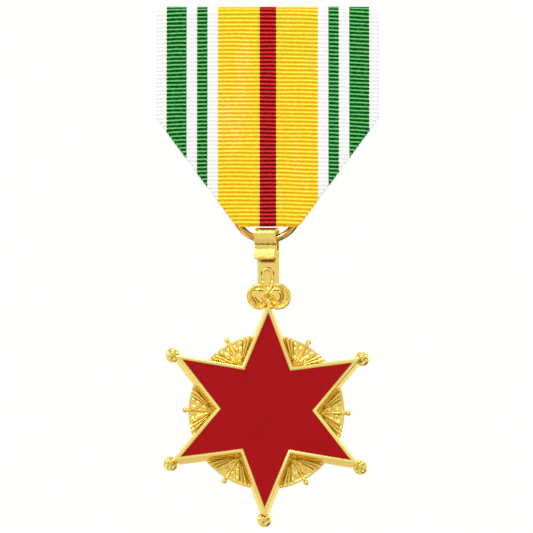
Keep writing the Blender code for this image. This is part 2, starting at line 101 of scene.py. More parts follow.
def mesh_of(name, verts, faces, smooth_angle=40):
    mesh = bpy.data.meshes.new(name)
    mesh.from_pydata([tuple(v) for v in verts], [], faces)
    mesh.validate()
    edit = bmesh.new()
    edit.from_mesh(mesh)
    bmesh.ops.recalc_face_normals(edit, faces=edit.faces)
    edit.to_mesh(mesh)
    edit.free()
    return smoothed(mesh, smooth_angle)


def piece(name, mesh, material, body, stands_for=()):
    """One visible piece: its mesh, finish, body and the CAD nodes that it stands for."""
    made = new_object(name, mesh)
    set_finish(mesh, material)
    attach(made, body)
    if stands_for:
        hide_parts(*stands_for)
    return made


def in_mm(pairs):
    """Pairs given in millimetres, in metres."""
    return [(a * MM, b * MM) for a, b in pairs]


def angles_round(sides):
    return [2 * pi * k / sides for k in range(sides)]


def on_circle(radius, turn, y):
    return Vector((radius * cos(turn), y, radius * sin(turn)))


def circle(radius, y, sides):
    return [on_circle(radius, turn, y) for turn in angles_round(sides)]


def lofted(rings):
    """Vertices and faces of a tube through rings of points, with flat ends."""
    count = len(rings[0])
    last = (len(rings) - 1) * count
    verts = [point for ring in rings for point in ring]
    faces = []
    for low in range(0, last, count):
        high = low + count
        for i in range(count):
            j = (i + 1) % count
            faces.append((low + i, low + j, high + j, high + i))
    faces += [tuple(range(count)), tuple(range(last, last + count))]
    return verts, faces


def joined(parts):
    """Several (verts, faces) as one."""
    verts, faces = [], []
    for part_verts, part_faces in parts:
        start = len(verts)
        verts += list(part_verts)
        faces += [tuple(start + i for i in face) for face in part_faces]
    return verts, faces


def moved(part, matrix):
    verts, faces = part
    return [matrix @ Vector(v) for v in verts], faces


def tube(path, radius, sides=16):
    """A round wire along points; radius is one number, or one for each point."""
    points = [Vector(p) for p in path]
    radii = radius if hasattr(radius, "__len__") else [radius] * len(points)
    side = None
    rings = []
    for before, point, after, size in zip(points[:1] + points, points, points[1:] + points[-1:], radii):
        ahead = (after - before).normalized()
        if side is None:
            side = ahead.cross(Vector((0, 1, 0)))
            if side.length < 0.1:
                side = ahead.cross(Vector((1, 0, 0)))
        side = (side - ahead * side.dot(ahead)).normalized()
        up = ahead.cross(side)
        rings.append([point + size * (cos(a) * side + sin(a) * up) for a in angles_round(sides)])
    return lofted(rings)


def smooth_path(points, steps=8):
    """A Catmull-Rom curve through points."""
    points = [Vector(p) for p in points]
    path = []
    for a, b, c, d in zip(points[:1] + points, points, points[1:], points[2:] + points[-1:]):
        for k in range(steps):
            t = k / steps
            path.append(
                0.5 * (2 * b + (c - a) * t + (2 * a - 5 * b + 4 * c - d) * t * t
                       + (3 * b - a - 3 * c + d) * t * t * t)
            )
    return path + points[-1:]


def lengths_along(points):
    """How far along a line of points each of them lies."""
    return list(accumulate(((b - a).length for a, b in zip(points, points[1:])), initial=0.0))


def turned(profile, sides):
    """A solid turned about +Y through the origin, from (radius, distance along) pairs."""
    return lofted([circle(radius, along, sides) for radius, along in profile])


def rounded_profile(radius, low, high, edge, steps=3):
    """The side of a disc with rounded edges, for turned()."""
    angles = [pi / 2 * i / steps for i in range(steps + 1)]
    profile = [(radius - edge + edge * sin(a), low + edge - edge * cos(a)) for a in angles]
    return profile + [(radius - edge + edge * cos(a), high - edge + edge * sin(a)) for a in angles]


def applied(made, name):
    """An object's mesh with its modifiers applied."""
    graph = bpy.context.evaluated_depsgraph_get()
    mesh = bpy.data.meshes.new_from_object(made.evaluated_get(graph))
    mesh.name = name
    return mesh


def fused(name, parts, voxel, smoothing):
    """Overlapping shapes melted into one cast body."""
    made = new_object(name, mesh_of(name, *joined(parts)))
    melt = made.modifiers.new("melt", "REMESH")
    melt.mode = "VOXEL"
    melt.voxel_size = voxel
    soften = made.modifiers.new("soften", "SMOOTH")
    soften.factor = 0.5
    soften.iterations = smoothing
    result = applied(made, name)
    bpy.data.objects.remove(made)
    result.shade_smooth()
    return result


def smoothstep(low, high, value):
    t = min(1.0, max(0.0, (value - low) / (high - low)))
    return t * t * (3 - 2 * t)


# --- materials


# Colours mixed into the metal: a dark brown for painted shade in grooves, creases, low places and under
# parts, and a pale gold for painted highlights.
SHADE_PAINT_COLOUR = (0.27, 0.07, 0.009)
HIGHLIGHT_PAINT_COLOUR = (1.0, 0.83, 0.26)
SHADER_INPUTS = {
    "colour": "Base Color", "roughness": "Roughness", "metal": "Metallic", "normal": "Normal", "ior": "IOR",
    "sheen": "Sheen Weight", "specular": "Specular IOR Level", "tint": "Specular Tint",
}


class Nodes:
    """The node tree of a material or world, with short calls for the nodes used here."""

    def __init__(self, owner):
        owner.use_nodes = True
        self.owner = owner
        self.tree = owner.node_tree

    def feed(self, socket, value):
        if isinstance(value, bpy.types.NodeSocket):
            self.tree.links.new(value, socket)
        else:
            socket.default_value = value

    def add(self, kind, inputs=None, **settings):
        """A new node, with its inputs fed by name or number."""
        node = self.tree.nodes.new(kind)
        for key, value in settings.items():
            setattr(node, key, value)
        for key, value in (inputs or {}).items():
            self.feed(node.inputs[key], value)
        return node

    def math(self, operation, a, b=0.0, c=0.0):
        return self.add("ShaderNodeMath", {0: a, 1: b, 2: c}, operation=operation).outputs[0]

    def mix(self, factor, a, b, blend="MIX"):
        node = self.add("ShaderNodeMix", {"Factor": factor}, data_type="RGBA", blend_type=blend)
        for socket, colour in zip([s for s in node.inputs if s.type == "RGBA"], (a, b)):
            self.feed(socket, colour)
        return [s for s in node.outputs if s.type == "RGBA"][0]

    def noise(self, size, detail=2.0, stretch=(1, 1, 1), seed=0.0):
        """Noise whose blobs are about size metres wide, fixed to the piece."""
        place = {
            "Vector": self.add("ShaderNodeTexCoord").outputs["Object"],
            "Scale": [s / size for s in stretch],
            "Location": (seed, seed, seed),
        }
        vector = self.add("ShaderNodeMapping", place).outputs["Vector"]
        inputs = {"Vector": vector, "Scale": 1.0, "Detail": detail}
        return self.add("ShaderNodeTexNoise", inputs).outputs["Fac"]

    def range(self, value, low, high, to_low, to_high):
        inputs = dict(enumerate((value, low, high, to_low, to_high)))
        return self.add("ShaderNodeMapRange", inputs).outputs[0]

    def ramp(self, value, stops, interpolation):
        """A colour for a value from 0 to 1, through (place, colour) stops."""
        node = self.add("ShaderNodeValToRGB", {"Fac": value})
        elements = node.color_ramp.elements
        node.color_ramp.interpolation = interpolation
        while len(elements) < len(stops):
            elements.new(1.0)
        for element, (place, _) in zip(elements, stops):
            element.position = place
        for element, (_, colour) in zip(elements, stops):
            element.color = colour
        return node.outputs["Color"]

    def bump(self, height, distance, strength):
        inputs = {"Height": height, "Distance": distance, "Strength": strength}
        return self.add("ShaderNodeBump", inputs).outputs["Normal"]

    def attribute(self, name):
        return self.add("ShaderNodeAttribute", attribute_name=name).outputs["Fac"]

    def set(self, **values):
        """Feeds the surface shader and returns the material."""
        shader = self.tree.nodes["Principled BSDF"]
        for key, value in values.items():
            self.feed(shader.inputs[SHADER_INPUTS[key]], value)
        return self.owner


def new_material(name):
    return Nodes(bpy.data.materials.new(name))


def metal(name, colour, deep, roughness):
    """Cast and polished metal: slow tone changes, darker pits, faint wiping marks and orange peel."""
    nodes = new_material(name)
    shade = nodes.range(nodes.noise(2.2 * MM, 3.0), 0.35, 0.65, 0.0, 0.22)
    pits = nodes.range(nodes.noise(0.22 * MM, seed=3.0), 0.28, 0.42, 0.35, 0.0)
    tone = nodes.mix(nodes.math("MAXIMUM", shade, pits), (*colour, 1), (*deep, 1))
    # Painted shade, then painted highlights, by the shares that mark() sets.
    tone = nodes.mix(nodes.attribute("shade_paint"), tone, (*SHADE_PAINT_COLOUR, 1))
    tone = nodes.mix(nodes.attribute("highlight_paint"), tone, (*HIGHLIGHT_PAINT_COLOUR, 1))
    wiping = nodes.noise(0.35 * MM, 4.0, stretch=(0.25, 1, 1.6), seed=9.0)
    rough = nodes.range(wiping, 0.3, 0.7, 0.7 * roughness, 1.45 * roughness)
    surface = nodes.bump(nodes.noise(0.5 * MM, 3.0, seed=5.0), 0.02 * MM, 0.35)
    tint = [0.5 + 0.5 * c for c in colour]
    return nodes.set(colour=tone, roughness=rough, metal=1.0, normal=surface, tint=(*tint, 1))


def mark(mesh, shares, name="shade_paint"):
    """A share from 0 to 1 for each vertex, of painted shade by default or of painted highlight. metal() reads
    both.
    """
    layer = mesh.attributes.new(name, "FLOAT", "POINT")
    layer.data.foreach_set("value", np.clip(np.asarray(shares, dtype=np.float32), 0, 1))


GILT = metal("gilt_metal", (0.97, 0.735, 0.19), (0.86, 0.52, 0.09), 0.16)
GILT_DEEP = metal("gilt_relief_metal", (0.97, 0.74, 0.2), (0.86, 0.52, 0.09), 0.24)
RING_GILT = metal("ring_metal", (0.78, 0.44, 0.10), (0.46, 0.21, 0.04), 0.09)
BRASS = metal("brass_metal", (0.78, 0.56, 0.22), (0.55, 0.34, 0.12), 0.34)
STEEL = metal("pin_steel", (0.66, 0.66, 0.68), (0.42, 0.42, 0.45), 0.24)


def enamel_material():
    """Hard-fired red enamel: near-flat colour and a glassy, faintly rippled face."""
    nodes = new_material("red_enamel")
    depth = nodes.range(nodes.noise(4 * MM), 0.3, 0.7, 0.0, 1.0)
    colour = nodes.mix(depth, (0.342, 0.0018, 0.0040, 1), (0.368, 0.0026, 0.005, 1))
    surface = nodes.bump(nodes.noise(1.6 * MM, seed=7.0), 0.02 * MM, 0.25)
    return nodes.set(colour=colour, roughness=0.09, ior=1.5, specular=0.1, normal=surface)


# Ribbon stripes from either edge to the middle: (colour, width).
STRIPES = (
    ("white", 1.63 * MM),
    ("green", 3.07 * MM),
    ("white", 1.62 * MM),
    ("green", 1.67 * MM),
    ("white", 1.60 * MM),
    ("yellow", 6.57 * MM),
    ("red", 1.30 * MM),
)
# Yarn colours with light and shade painted in: lit on a rib's crest and shaded between ribs.
LIT_CREST_COLOURS = {
    "white": (0.965, 0.96, 0.955),
    "green": (0.18, 0.72, 0.185),
    "yellow": (0.97, 0.885, 0.058),
    "red": (0.82, 0.033, 0.034),
}
SHADED_VALLEY_COLOURS = {
    "white": (0.775, 0.76, 0.755),
    "green": (0.0005, 0.058, 0.006),
    "yellow": (0.77, 0.335, 0.003),
    "red": (0.145, 0.0005, 0.0005),
}
# How much painted sheen each yarn gets, and how narrow the lit crest of its ribs is.
SHEEN_PAINT = {"white": (0.0,) * 3, "green": (0.05,) * 3, "yellow": (1.0,) * 3, "red": (0.0,) * 3}
SHARPNESS = {"white": (0.9,) * 3, "green": (3.5,) * 3, "yellow": (1.2,) * 3, "red": (2.0,) * 3}
RIB_PITCH = 0.6277 * MM
THREAD_PITCH = 0.13 * MM
EDGE_WANDER = 0.04 * MM  # how far the stripes' edges stray
EDGE_BOW = 0.035 * MM  # and how far they bow out over each rib
ribbon_width = ribbon_high.x - ribbon_low.x


widths = [width for _, width in STRIPES]
yarns = [yarn for yarn, _ in STRIPES]
starts = [start / ribbon_width for start in accumulate(widths[:-1], initial=0.0)]
# Where each stripe starts across the ribbon, as a share of its width, and its yarn.
STRIPE_STARTS = list(zip(starts, yarns))
STRIPE_STARTS += [(1 - start, yarn) for start, yarn in zip(starts[:0:-1], yarns[-2::-1])]


def ribbon_material():
    """Ribbed ribbon, with painted shade between its ribs, painted light on their crests and a painted sheen,
    mostly on the yellow. UV x runs across the ribbon, and UV y counts its ribs.
    """
    nodes = new_material("grosgrain_ribbon")
    math = nodes.math
    uv = nodes.add("ShaderNodeUVMap", uv_map="cloth").outputs["UV"]
    across, along, _ = nodes.add("ShaderNodeSeparateXYZ", {"Vector": uv}).outputs
    streaks = nodes.add("ShaderNodeMapping", {"Vector": uv, "Scale": (60, 2.0, 1)}).outputs["Vector"]
    inputs = {"Vector": streaks, "Scale": 1.0}
    stray = nodes.add("ShaderNodeTexNoise", inputs, noise_dimensions="2D").outputs["Fac"]

    wander, bow = EDGE_WANDER / ribbon_width, EDGE_BOW / ribbon_width
    wave = math("COSINE", math("MULTIPLY", along, 2 * pi))
    side = math("SIGN", math("SUBTRACT", across, 0.5))
    place = math("ADD", across, nodes.range(stray, 0.0, 1.0, -wander, wander))
    place = math("ADD", place, math("MULTIPLY", math("MULTIPLY", wave, side), bow))

    def by_yarn(values):
        return nodes.ramp(place, [(start, (*values[yarn], 1)) for start, yarn in STRIPE_STARTS], "CONSTANT")

    crest = math("POWER", math("MULTIPLY_ADD", wave, 0.5, 0.5), by_yarn(SHARPNESS))
    crest = math("ADD", crest, nodes.range(stray, 0.3, 0.7, -0.13, 0.13))
    thread = math("COSINE", math("MULTIPLY", across, 2 * pi * ribbon_width / THREAD_PITCH))
    crest = nodes.range(math("MULTIPLY_ADD", thread, 0.05, crest), 0.0, 1.0, 0.0, 1.0)
    # Painted shade between the ribs and painted light on their crests.
    colour = nodes.mix(crest, by_yarn(SHADED_VALLEY_COLOURS), by_yarn(LIT_CREST_COLOURS))

    # Pale patches of painted sheen, screened over the crests.
    painted_sheen = nodes.range(nodes.noise(5 * MM, 3.0, stretch=(1.6, 1, 0.5), seed=2.0), 0.5, 0.68, 0.0, 0.15)
    painted_sheen = math("MULTIPLY", painted_sheen, by_yarn(SHEEN_PAINT))
    colour = nodes.mix(math("MULTIPLY", painted_sheen, crest), colour, (1.0, 0.96, 0.72, 1), "SCREEN")

    surface = nodes.bump(math("MULTIPLY_ADD", stray, 0.6, thread), 0.006 * MM, 0.6)
    gloss = nodes.range(crest, 0.0, 1.0, 0.9, 0.5)
    return nodes.set(colour=colour, roughness=gloss, specular=0.05, normal=surface)


def thread_material():
    nodes = new_material("sewing_thread")
    twist = nodes.noise(0.09 * MM, stretch=(1, 1, 3))
    colour = nodes.mix(nodes.range(twist, 0.35, 0.65, 0, 1), (0.62, 0.6, 0.55, 1), (0.9, 0.88, 0.84, 1))
    return nodes.set(colour=colour, roughness=0.75, sheen=0.2, normal=nodes.bump(twist, 0.02 * MM, 0.8))


# --- ribbon

CLOTH_HALF = 0.11 * MM  # half the cloth's thickness, halfway up a rib
RIB_HEIGHT = 0.06 * MM
ROWS_PER_RIB = 8
BEND = 0.18 * MM  # radius of the cloth's middle in a pressed fold
FOLD = BEND + CLOTH_HALF + RIB_HEIGHT  # from a pressed fold's outer edge to where the bend starts
BOTTOM_RIDGE = 0.095 * MM  # the last rib's top, above the ribbon's lower edge
TAPER_START = 18.05 * MM  # below the ribbon's top
FOOT_HALF = 4.95 * MM  # half the width at the foot
WEB_HALF = 2.75 * MM  # half the width that passes through the ring
REAR_RISE = 0.5 * MM  # how far the rear layer's foot lies above the front's
REAR_TUCK = 0.3 * MM  # the rear layer is folded this much further in
TAPER_HEM = 1.5 * MM  # cloth turned in behind the taper
FOOT_HEM = 1.1 * MM  # and behind the foot, beside the web
TAIL_END = -6.4 * MM  # height of the stitched end, behind
REAR_TOP = 2.2 * MM  # height of the rear layer's top end
LAYER_GAP = 0.04 * MM  # between the rear layer and the tail
TAIL_PROUD = 0.06 * MM  # the tail's middle, behind the CAD drape's rear
COLUMN = 1.0 * MM  # width of a column of the strip's faces
SELVEDGE = (0.12 * MM, 0.3 * MM)  # finer columns, by distance from the ribbon's edge
SAME_PLACE = 1e-8
RIB_SAG = 0.0015 / MM  # how strongly the ribs bow
SAG_MIDDLE = 3.5 * MM  # how far left of the ribbon's middle they are level
SELVEDGE_WIDTH = 0.16 * MM  # over which the cloth thins out at its edge

cloth_max = CLOTH_HALF + RIB_HEIGHT
front_y = ribbon_low.y + cloth_max
tail_y = ribbon_high.y + TAIL_PROUD
rear_y = tail_y - 2 * cloth_max - LAYER_GAP
foot_z = ribbon_low.z + cloth_max
rear_foot_z = foot_z + REAR_RISE
taper_foot = Vector((FOOT_HALF, ribbon_low.z))
taper_shoulder = Vector((ribbon_high.x, ribbon_high.z - TAPER_START))
taper_along = (taper_shoulder - taper_foot).normalized()
taper_out = Vector((taper_along.y, -taper_along.x))


def filleted(corners, step=0.01 * MM):
    """Dense (y, z) points along straight runs joined by arcs, from (point, radius) corners."""
    points = [Vector(corners[0][0])]
    for (before, _), (corner, radius), (after, _) in zip(corners, corners[1:], corners[2:]):
        corner = Vector(corner)
        to_before = (Vector(before) - corner).normalized()
        to_after = (Vector(after) - corner).normalized()
        half_angle = to_before.angle(to_after) / 2
        centre = corner + (to_before + to_after).normalized() * radius / sin(half_angle)
        start = corner + to_before * radius / tan(half_angle) - centre
        end = corner + to_after * radius / tan(half_angle) - centre
        sweep = start.angle(end)
        turn = 1 if start.x * end.y - start.y * end.x > 0 else -1
        count = max(2, int(sweep * radius / step))
        for i in range(count + 1):
            points.append(centre + Matrix.Rotation(turn * sweep * i / count, 2) @ start)
    points.append(Vector(corners[-1][0]))
    return points


class Route:
    """The cloth's middle line in (y, z), by the length along it from the rear layer's top end."""

    def __init__(self):
        top = ribbon_high.z - cloth_max
        top_radius = (tail_y - front_y) / 2 - 0.001 * MM
        points = filleted([
            ((rear_y, REAR_TOP), 0),
            ((rear_y, rear_foot_z), FOLD),
            ((front_y, foot_z), FOLD),
            ((front_y, top), top_radius),
            ((tail_y, top), top_radius),
            ((tail_y, TAIL_END), 0),
        ])
        self.at = np.array(lengths_along(points))
        self.y = np.array([p.x for p in points])
        self.z = np.array([p.y for p in points])
        self.length = float(self.at[-1])
        low = int(np.argmin(self.z))
        front = [i for i in range(low, len(points)) if abs(self.y[i] - front_y) < SAME_PLACE]
        self.front_start = self.at[front[0]]
        self.front_start_z = self.z[front[0]]
        self.front_end = self.at[front[-1]]

    def point(self, t):
        return float(np.interp(t, self.at, self.y)), float(np.interp(t, self.at, self.z))

    def front_t(self, z):
        return self.front_start + z - self.front_start_z

    def front_z(self, t):
        return t - self.front_start + self.front_start_z

    def rear_t(self, z):
        return REAR_TOP - z

    def rear_z(self, t):
        return REAR_TOP - t


def bent(distance):
    """(distance on, depth) of a point that lies a distance past the start of a pressed fold."""
    if distance <= 0:
        return distance, 0.0
    if distance <= pi * BEND:
        return BEND * sin(distance / BEND), BEND * (1 - cos(distance / BEND))
    return -(distance - pi * BEND), 2 * BEND


route = Route()
bend_length = pi * BEND
hem_line = ribbon_low.z + FOLD
hem_end = route.front_t(hem_line) - bend_length - FOOT_HEM
rear_end = route.rear_t(rear_foot_z)
web_end = (hem_end + rear_end) / 2
slit_low, slit_high = route.rear_t(rear_foot_z + FOLD), route.front_start
lowest_rib = route.front_t(ribbon_low.z + BOTTOM_RIDGE)
front_fold = taper_foot - taper_out * FOLD
rear_fold = front_fold - taper_out * REAR_TUCK


def fold_distance(u, t, rear):
    """How far a point of the flat strip lies past the fold line of its taper."""
    z = route.rear_z(t) if rear else route.front_z(t)
    return (Vector((abs(u), z)) - (rear_fold if rear else front_fold)).dot(taper_out)


def flat_strip():
    """The strip before folding, as a grid in (across, along)."""
    half = ribbon_width / 2
    count = round(2 * half / COLUMN)
    columns = {round(-half + 2 * half * i / count, 7) for i in range(count + 1)}
    columns |= {side * w for side in (-1, 1) for w in (WEB_HALF, *(half - gap for gap in SELVEDGE))}
    columns = sorted(columns)
    rows = int(route.length / (RIB_PITCH / ROWS_PER_RIB))
    edit = bmesh.new()
    grid = [[edit.verts.new((u, route.length * r / rows, 0)) for u in columns] for r in range(rows + 1)]
    for low, high in zip(grid, grid[1:]):
        for i in range(len(columns) - 1):
            edit.faces.new((low[i], low[i + 1], high[i + 1], high[i]))
    return edit


def cut_fold_lines(edit):
    """Edges along the fold lines, so that each bend is round."""
    shoulder_z = taper_shoulder.y + 1.5 * MM
    bends = [bend_length * k / 6 for k in range(7)]
    layers = (
        (front_fold, route.front_t, 1, web_end, route.front_t(shoulder_z), bends + [bend_length + TAPER_HEM]),
        (rear_fold, route.rear_t, -1, route.rear_t(shoulder_z), rear_end, bends),
    )
    for origin, to_t, upward, low_t, high_t, reaches in layers:
        for side, reach in [(side, reach) for side in (-1, 1) for reach in reaches]:
            spot = origin + taper_out * reach
            chosen = [f for f in edit.faces
                      if side * f.calc_center_median().x > WEB_HALF
                      and low_t < f.calc_center_median().y < high_t]
            around = dict.fromkeys(e for f in chosen for e in f.edges)
            around.update(dict.fromkeys(v for f in chosen for v in f.verts))
            bmesh.ops.bisect_plane(
                edit, geom=chosen + list(around), dist=SAME_PLACE,
                plane_co=(side * spot.x, to_t(spot.y), 0),
                plane_no=(side * taper_out.x, upward * taper_out.y, 0),
            )


def is_cut_away(u, t):
    """Beside the web, past the hems, and where two hems would cross."""
    if abs(u) < WEB_HALF:
        return False
    if rear_end < t < hem_end:
        return True
    distance = fold_distance(u, t, False)
    if t < web_end or t >= route.front_end or distance <= 0:
        return False
    z = route.front_z(t)
    if distance > bend_length + TAPER_HEM or z < hem_line:
        return True
    mirrored_z = z - 2 * taper_out.y * distance
    return distance > bend_length and mirrored_z < hem_line + FOOT_HEM


def trim(edit):
    """Cuts the waste away and opens the slits beside the web, at the foot."""
    gone = [f for f in edit.faces if is_cut_away(*f.calc_center_median()[:2])]
    bmesh.ops.delete(edit, geom=gone, context="FACES")
    slit = [e for e in edit.edges
            if all(abs(abs(v.co.x) - WEB_HALF) < SAME_PLACE for v in e.verts)
            and slit_low < (e.verts[0].co.y + e.verts[1].co.y) / 2 < slit_high
            and len(e.link_faces) == 2]
    bmesh.ops.split_edges(edit, edges=slit)
    edit.verts.index_update()


def folded(vert):
    """Where a point of the flat strip comes to lie, on the cloth's middle."""
    u, t = vert.co.x, vert.co.y
    faces = vert.link_faces
    beside_web = len(faces) > 0 and all(abs(f.calc_center_median().x) > WEB_HALF for f in faces)
    rear = t < web_end
    y, z = route.point(t)
    if beside_web and slit_low < t < slit_high:
        if rear:
            y, z = rear_y, route.rear_z(t)
        else:
            on, depth = bent(hem_line - route.front_z(t))
            y, z = front_y + depth, hem_line - on
    if beside_web and (rear or t < route.front_end):
        distance = fold_distance(u, t, rear)
        if distance > 0:
            on, depth = bent(distance)
            u += (1 if u > 0 else -1) * taper_out.x * (on - distance)
            z += taper_out.y * (on - distance)
            y += depth
    return Vector((u, y, z))


def rib_count(u, t):
    """Ribs from the lowest one on the front; they sag a little towards the ribbon's edges."""
    sag = RIB_SAG * (u + SAG_MIDDLE) ** 2
    wander = 0.07 * MM * noise.noise((u / (4 * MM), t / (3 * MM), 5.0))
    return (t - lowest_rib + sag + wander) / RIB_PITCH


def half_thickness(u, t):
    rib = cos(2 * pi * rib_count(u, t))
    sway = 1 + 0.12 * noise.noise((u / (3 * MM), t / (0.5 * MM), 0.0))
    edge = smoothstep(0, SELVEDGE_WIDTH, ribbon_width / 2 - abs(u))
    return (CLOTH_HALF + RIB_HEIGHT * rib * sway) * (0.55 + 0.45 * edge)


def build_ribbon():
    """The ribbon, folded from one flat strip and given its thickness and ribs."""
    edit = flat_strip()
    cut_fold_lines(edit)
    trim(edit)
    flat_area = sum(f.calc_area() for f in edit.faces)
    flat = [v.co.copy() for v in edit.verts]
    for vert, place in zip(edit.verts, [folded(v) for v in edit.verts]):
        vert.co = place
    edit.normal_update()

    count = len(edit.verts)
    lifts = [v.normal * half_thickness(c.x, c.y) for v, c in zip(edit.verts, flat)]
    verts = [v.co + lift for v, lift in zip(edit.verts, lifts)]
    verts += [v.co - lift for v, lift in zip(edit.verts, lifts)]
    faces = [tuple(v.index for v in f.verts) for f in edit.faces]
    faces += [tuple(v.index + count for v in reversed(f.verts)) for f in edit.faces]
    for edge in edit.edges:
        if len(edge.link_faces) == 1:
            loop = edge.link_loops[0]
            a, b = loop.vert.index, loop.link_loop_next.vert.index
            faces.append((b, a, a + count, b + count))
    edit.free()
    mesh = bpy.data.meshes.new("ribbon_cloth")
    mesh.from_pydata([tuple(v) for v in verts], [], faces)
    layer = mesh.uv_layers.new(name="cloth")
    uv = np.array([[c.x / ribbon_width + 0.5, rib_count(c.x, c.y)] for c in flat])
    index = np.zeros(len(mesh.loops), int)
    mesh.loops.foreach_get("vertex_index", index)
    layer.data.foreach_set("uv", uv[index % count].astype(np.float32).ravel())
    mesh.update()
    mesh.shade_smooth()
    cloth = piece(
        "ribbon_cloth", mesh, ribbon_material(), "brooch",
        ("ribbon_drape", "corner_fold_left", "corner_fold_right"),
    )


# --- stitches

STITCH = 1.5 * MM
STITCH_GAP = 0.9 * MM
THREAD_RADIUS = 0.11 * MM
STITCH_Z = TAIL_END + 1.0 * MM
STITCH_DIP = 0.25 * MM  # how deep the ends go into the cloth
STITCH_MARGIN = 1.5 * MM  # from the ribbon's edges


def build_stitches():
    """A row of hand stitches that holds the ribbon's tail to its rear layer."""
    parts = []
    reach = ribbon_width / 2 - STITCH_MARGIN
    y = tail_y + cloth_max
    count = int(2 * reach / (STITCH + STITCH_GAP))
    for i in range(count + 1):
        x = -reach + 2 * reach * i / count
        wander = 0.12 * MM * noise.noise((i * 1.7, 0.3, 0.1))
        points = [
            (x - STITCH / 2, y - STITCH_DIP, STITCH_Z),
            (x - 0.4 * STITCH, y + 0.5 * THREAD_RADIUS, STITCH_Z + wander / 2),
            (x, y + THREAD_RADIUS, STITCH_Z + wander),
            (x + 0.4 * STITCH, y + 0.5 * THREAD_RADIUS, STITCH_Z + wander / 2),
            (x + STITCH / 2, y - STITCH_DIP, STITCH_Z),
        ]
        parts.append(tube(smooth_path(points, 5), THREAD_RADIUS, sides=10))
    mesh = mesh_of("tail_stitches", *joined(parts))
    piece("tail_stitches", mesh, thread_material(), "brooch")


# --- ring

RING_CUT = radians(2.0)  # the gap between the wire's ends
CUT_END = 0.9  # the wire's radius at those ends, as a share


def build_ring():
    """A jump ring of round wire, its cut ends slightly rounded."""
    steps = 120
    path, radii = [], []
    for i in range(steps + 1):
        angle = pi / 2 + RING_CUT / 2 + (2 * pi - RING_CUT) * i / steps
        path.append(ring_centre + ring_radius * Vector((cos(angle), 0, sin(angle))))
        radii.append(wire_radius * (CUT_END if i in (0, steps) else 1.0))
    mesh = mesh_of("jump_ring", *tube(path, radii, sides=28))
    piece("jump_ring", mesh, RING_GILT, "ring", ("suspension_ring",))


# --- hanger strap

STRAP_THICKNESS = 0.42 * MM
STRAP_EDGE = 0.13 * MM  # radius of its long edges
stem_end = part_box("hanger_strap")[0].z - pivot.z
EYE = 1.21 * MM  # radius of the strap's middle round the wire
EYE_RISE = 0.49 * MM  # how much taller than round the eye is
STEM_Y = 0.1 * MM  # the stem's middle, behind the wire's
STRAP_WIDTH = 3.4 * MM
STRAP_SKEW = 0.43  # how far the front part leans to the left, for its distance from the stem
STRAP_SHIFT = 0.3 * MM  # to the right, as a whole
LIP_ROUND = 0.55 * MM  # length of the front end's rounded corners
BEND_POWER = 2.7  # squares the bend's front; 2 would be round
CREASE_Z = -0.72 * MM  # height of the crease in front, from the wire
CREASE_HALF = 0.25 * MM  # half its width
CREASE_DEPTH = 0.05 * MM
DENTS = 0.011 * MM  # hammer marks
STRAP_LIP = -3.25 * MM  # the front end's height, from the wire


def strap_line():
    """The strap's middle line in (y, z) about the wire, from the foot of the stem to the lip."""
    points = [(STEM_Y, stem_end)] + [(STEM_Y, z * MM) for z in (-6, -4, -3.4, -2.8)] + in_mm([(0.22, -1.95)])
    for degrees in (-48, -24, 0):
        points.append((EYE * cos(radians(degrees)), EYE * sin(radians(degrees))))
    for degrees in range(20, 181, 20):
        side, up = cos(radians(degrees)), sin(radians(degrees))
        square = (abs(side) ** BEND_POWER + up**BEND_POWER) ** (-1 / BEND_POWER) if side < 0 else 1.0
        points.append((EYE * square * side, EYE_RISE + EYE * min(1.0, square * up)))
    points += in_mm([(-1.17, -0.25), (-0.93, -0.88), (-0.92, -1.12), (-0.96, -1.6), (-1.13, -2.3)])
    points.append((-1.31 * MM, STRAP_LIP))
    return [Vector((p.x, p.y)) for p in smooth_path([(y, z, 0) for y, z in points], 9)]


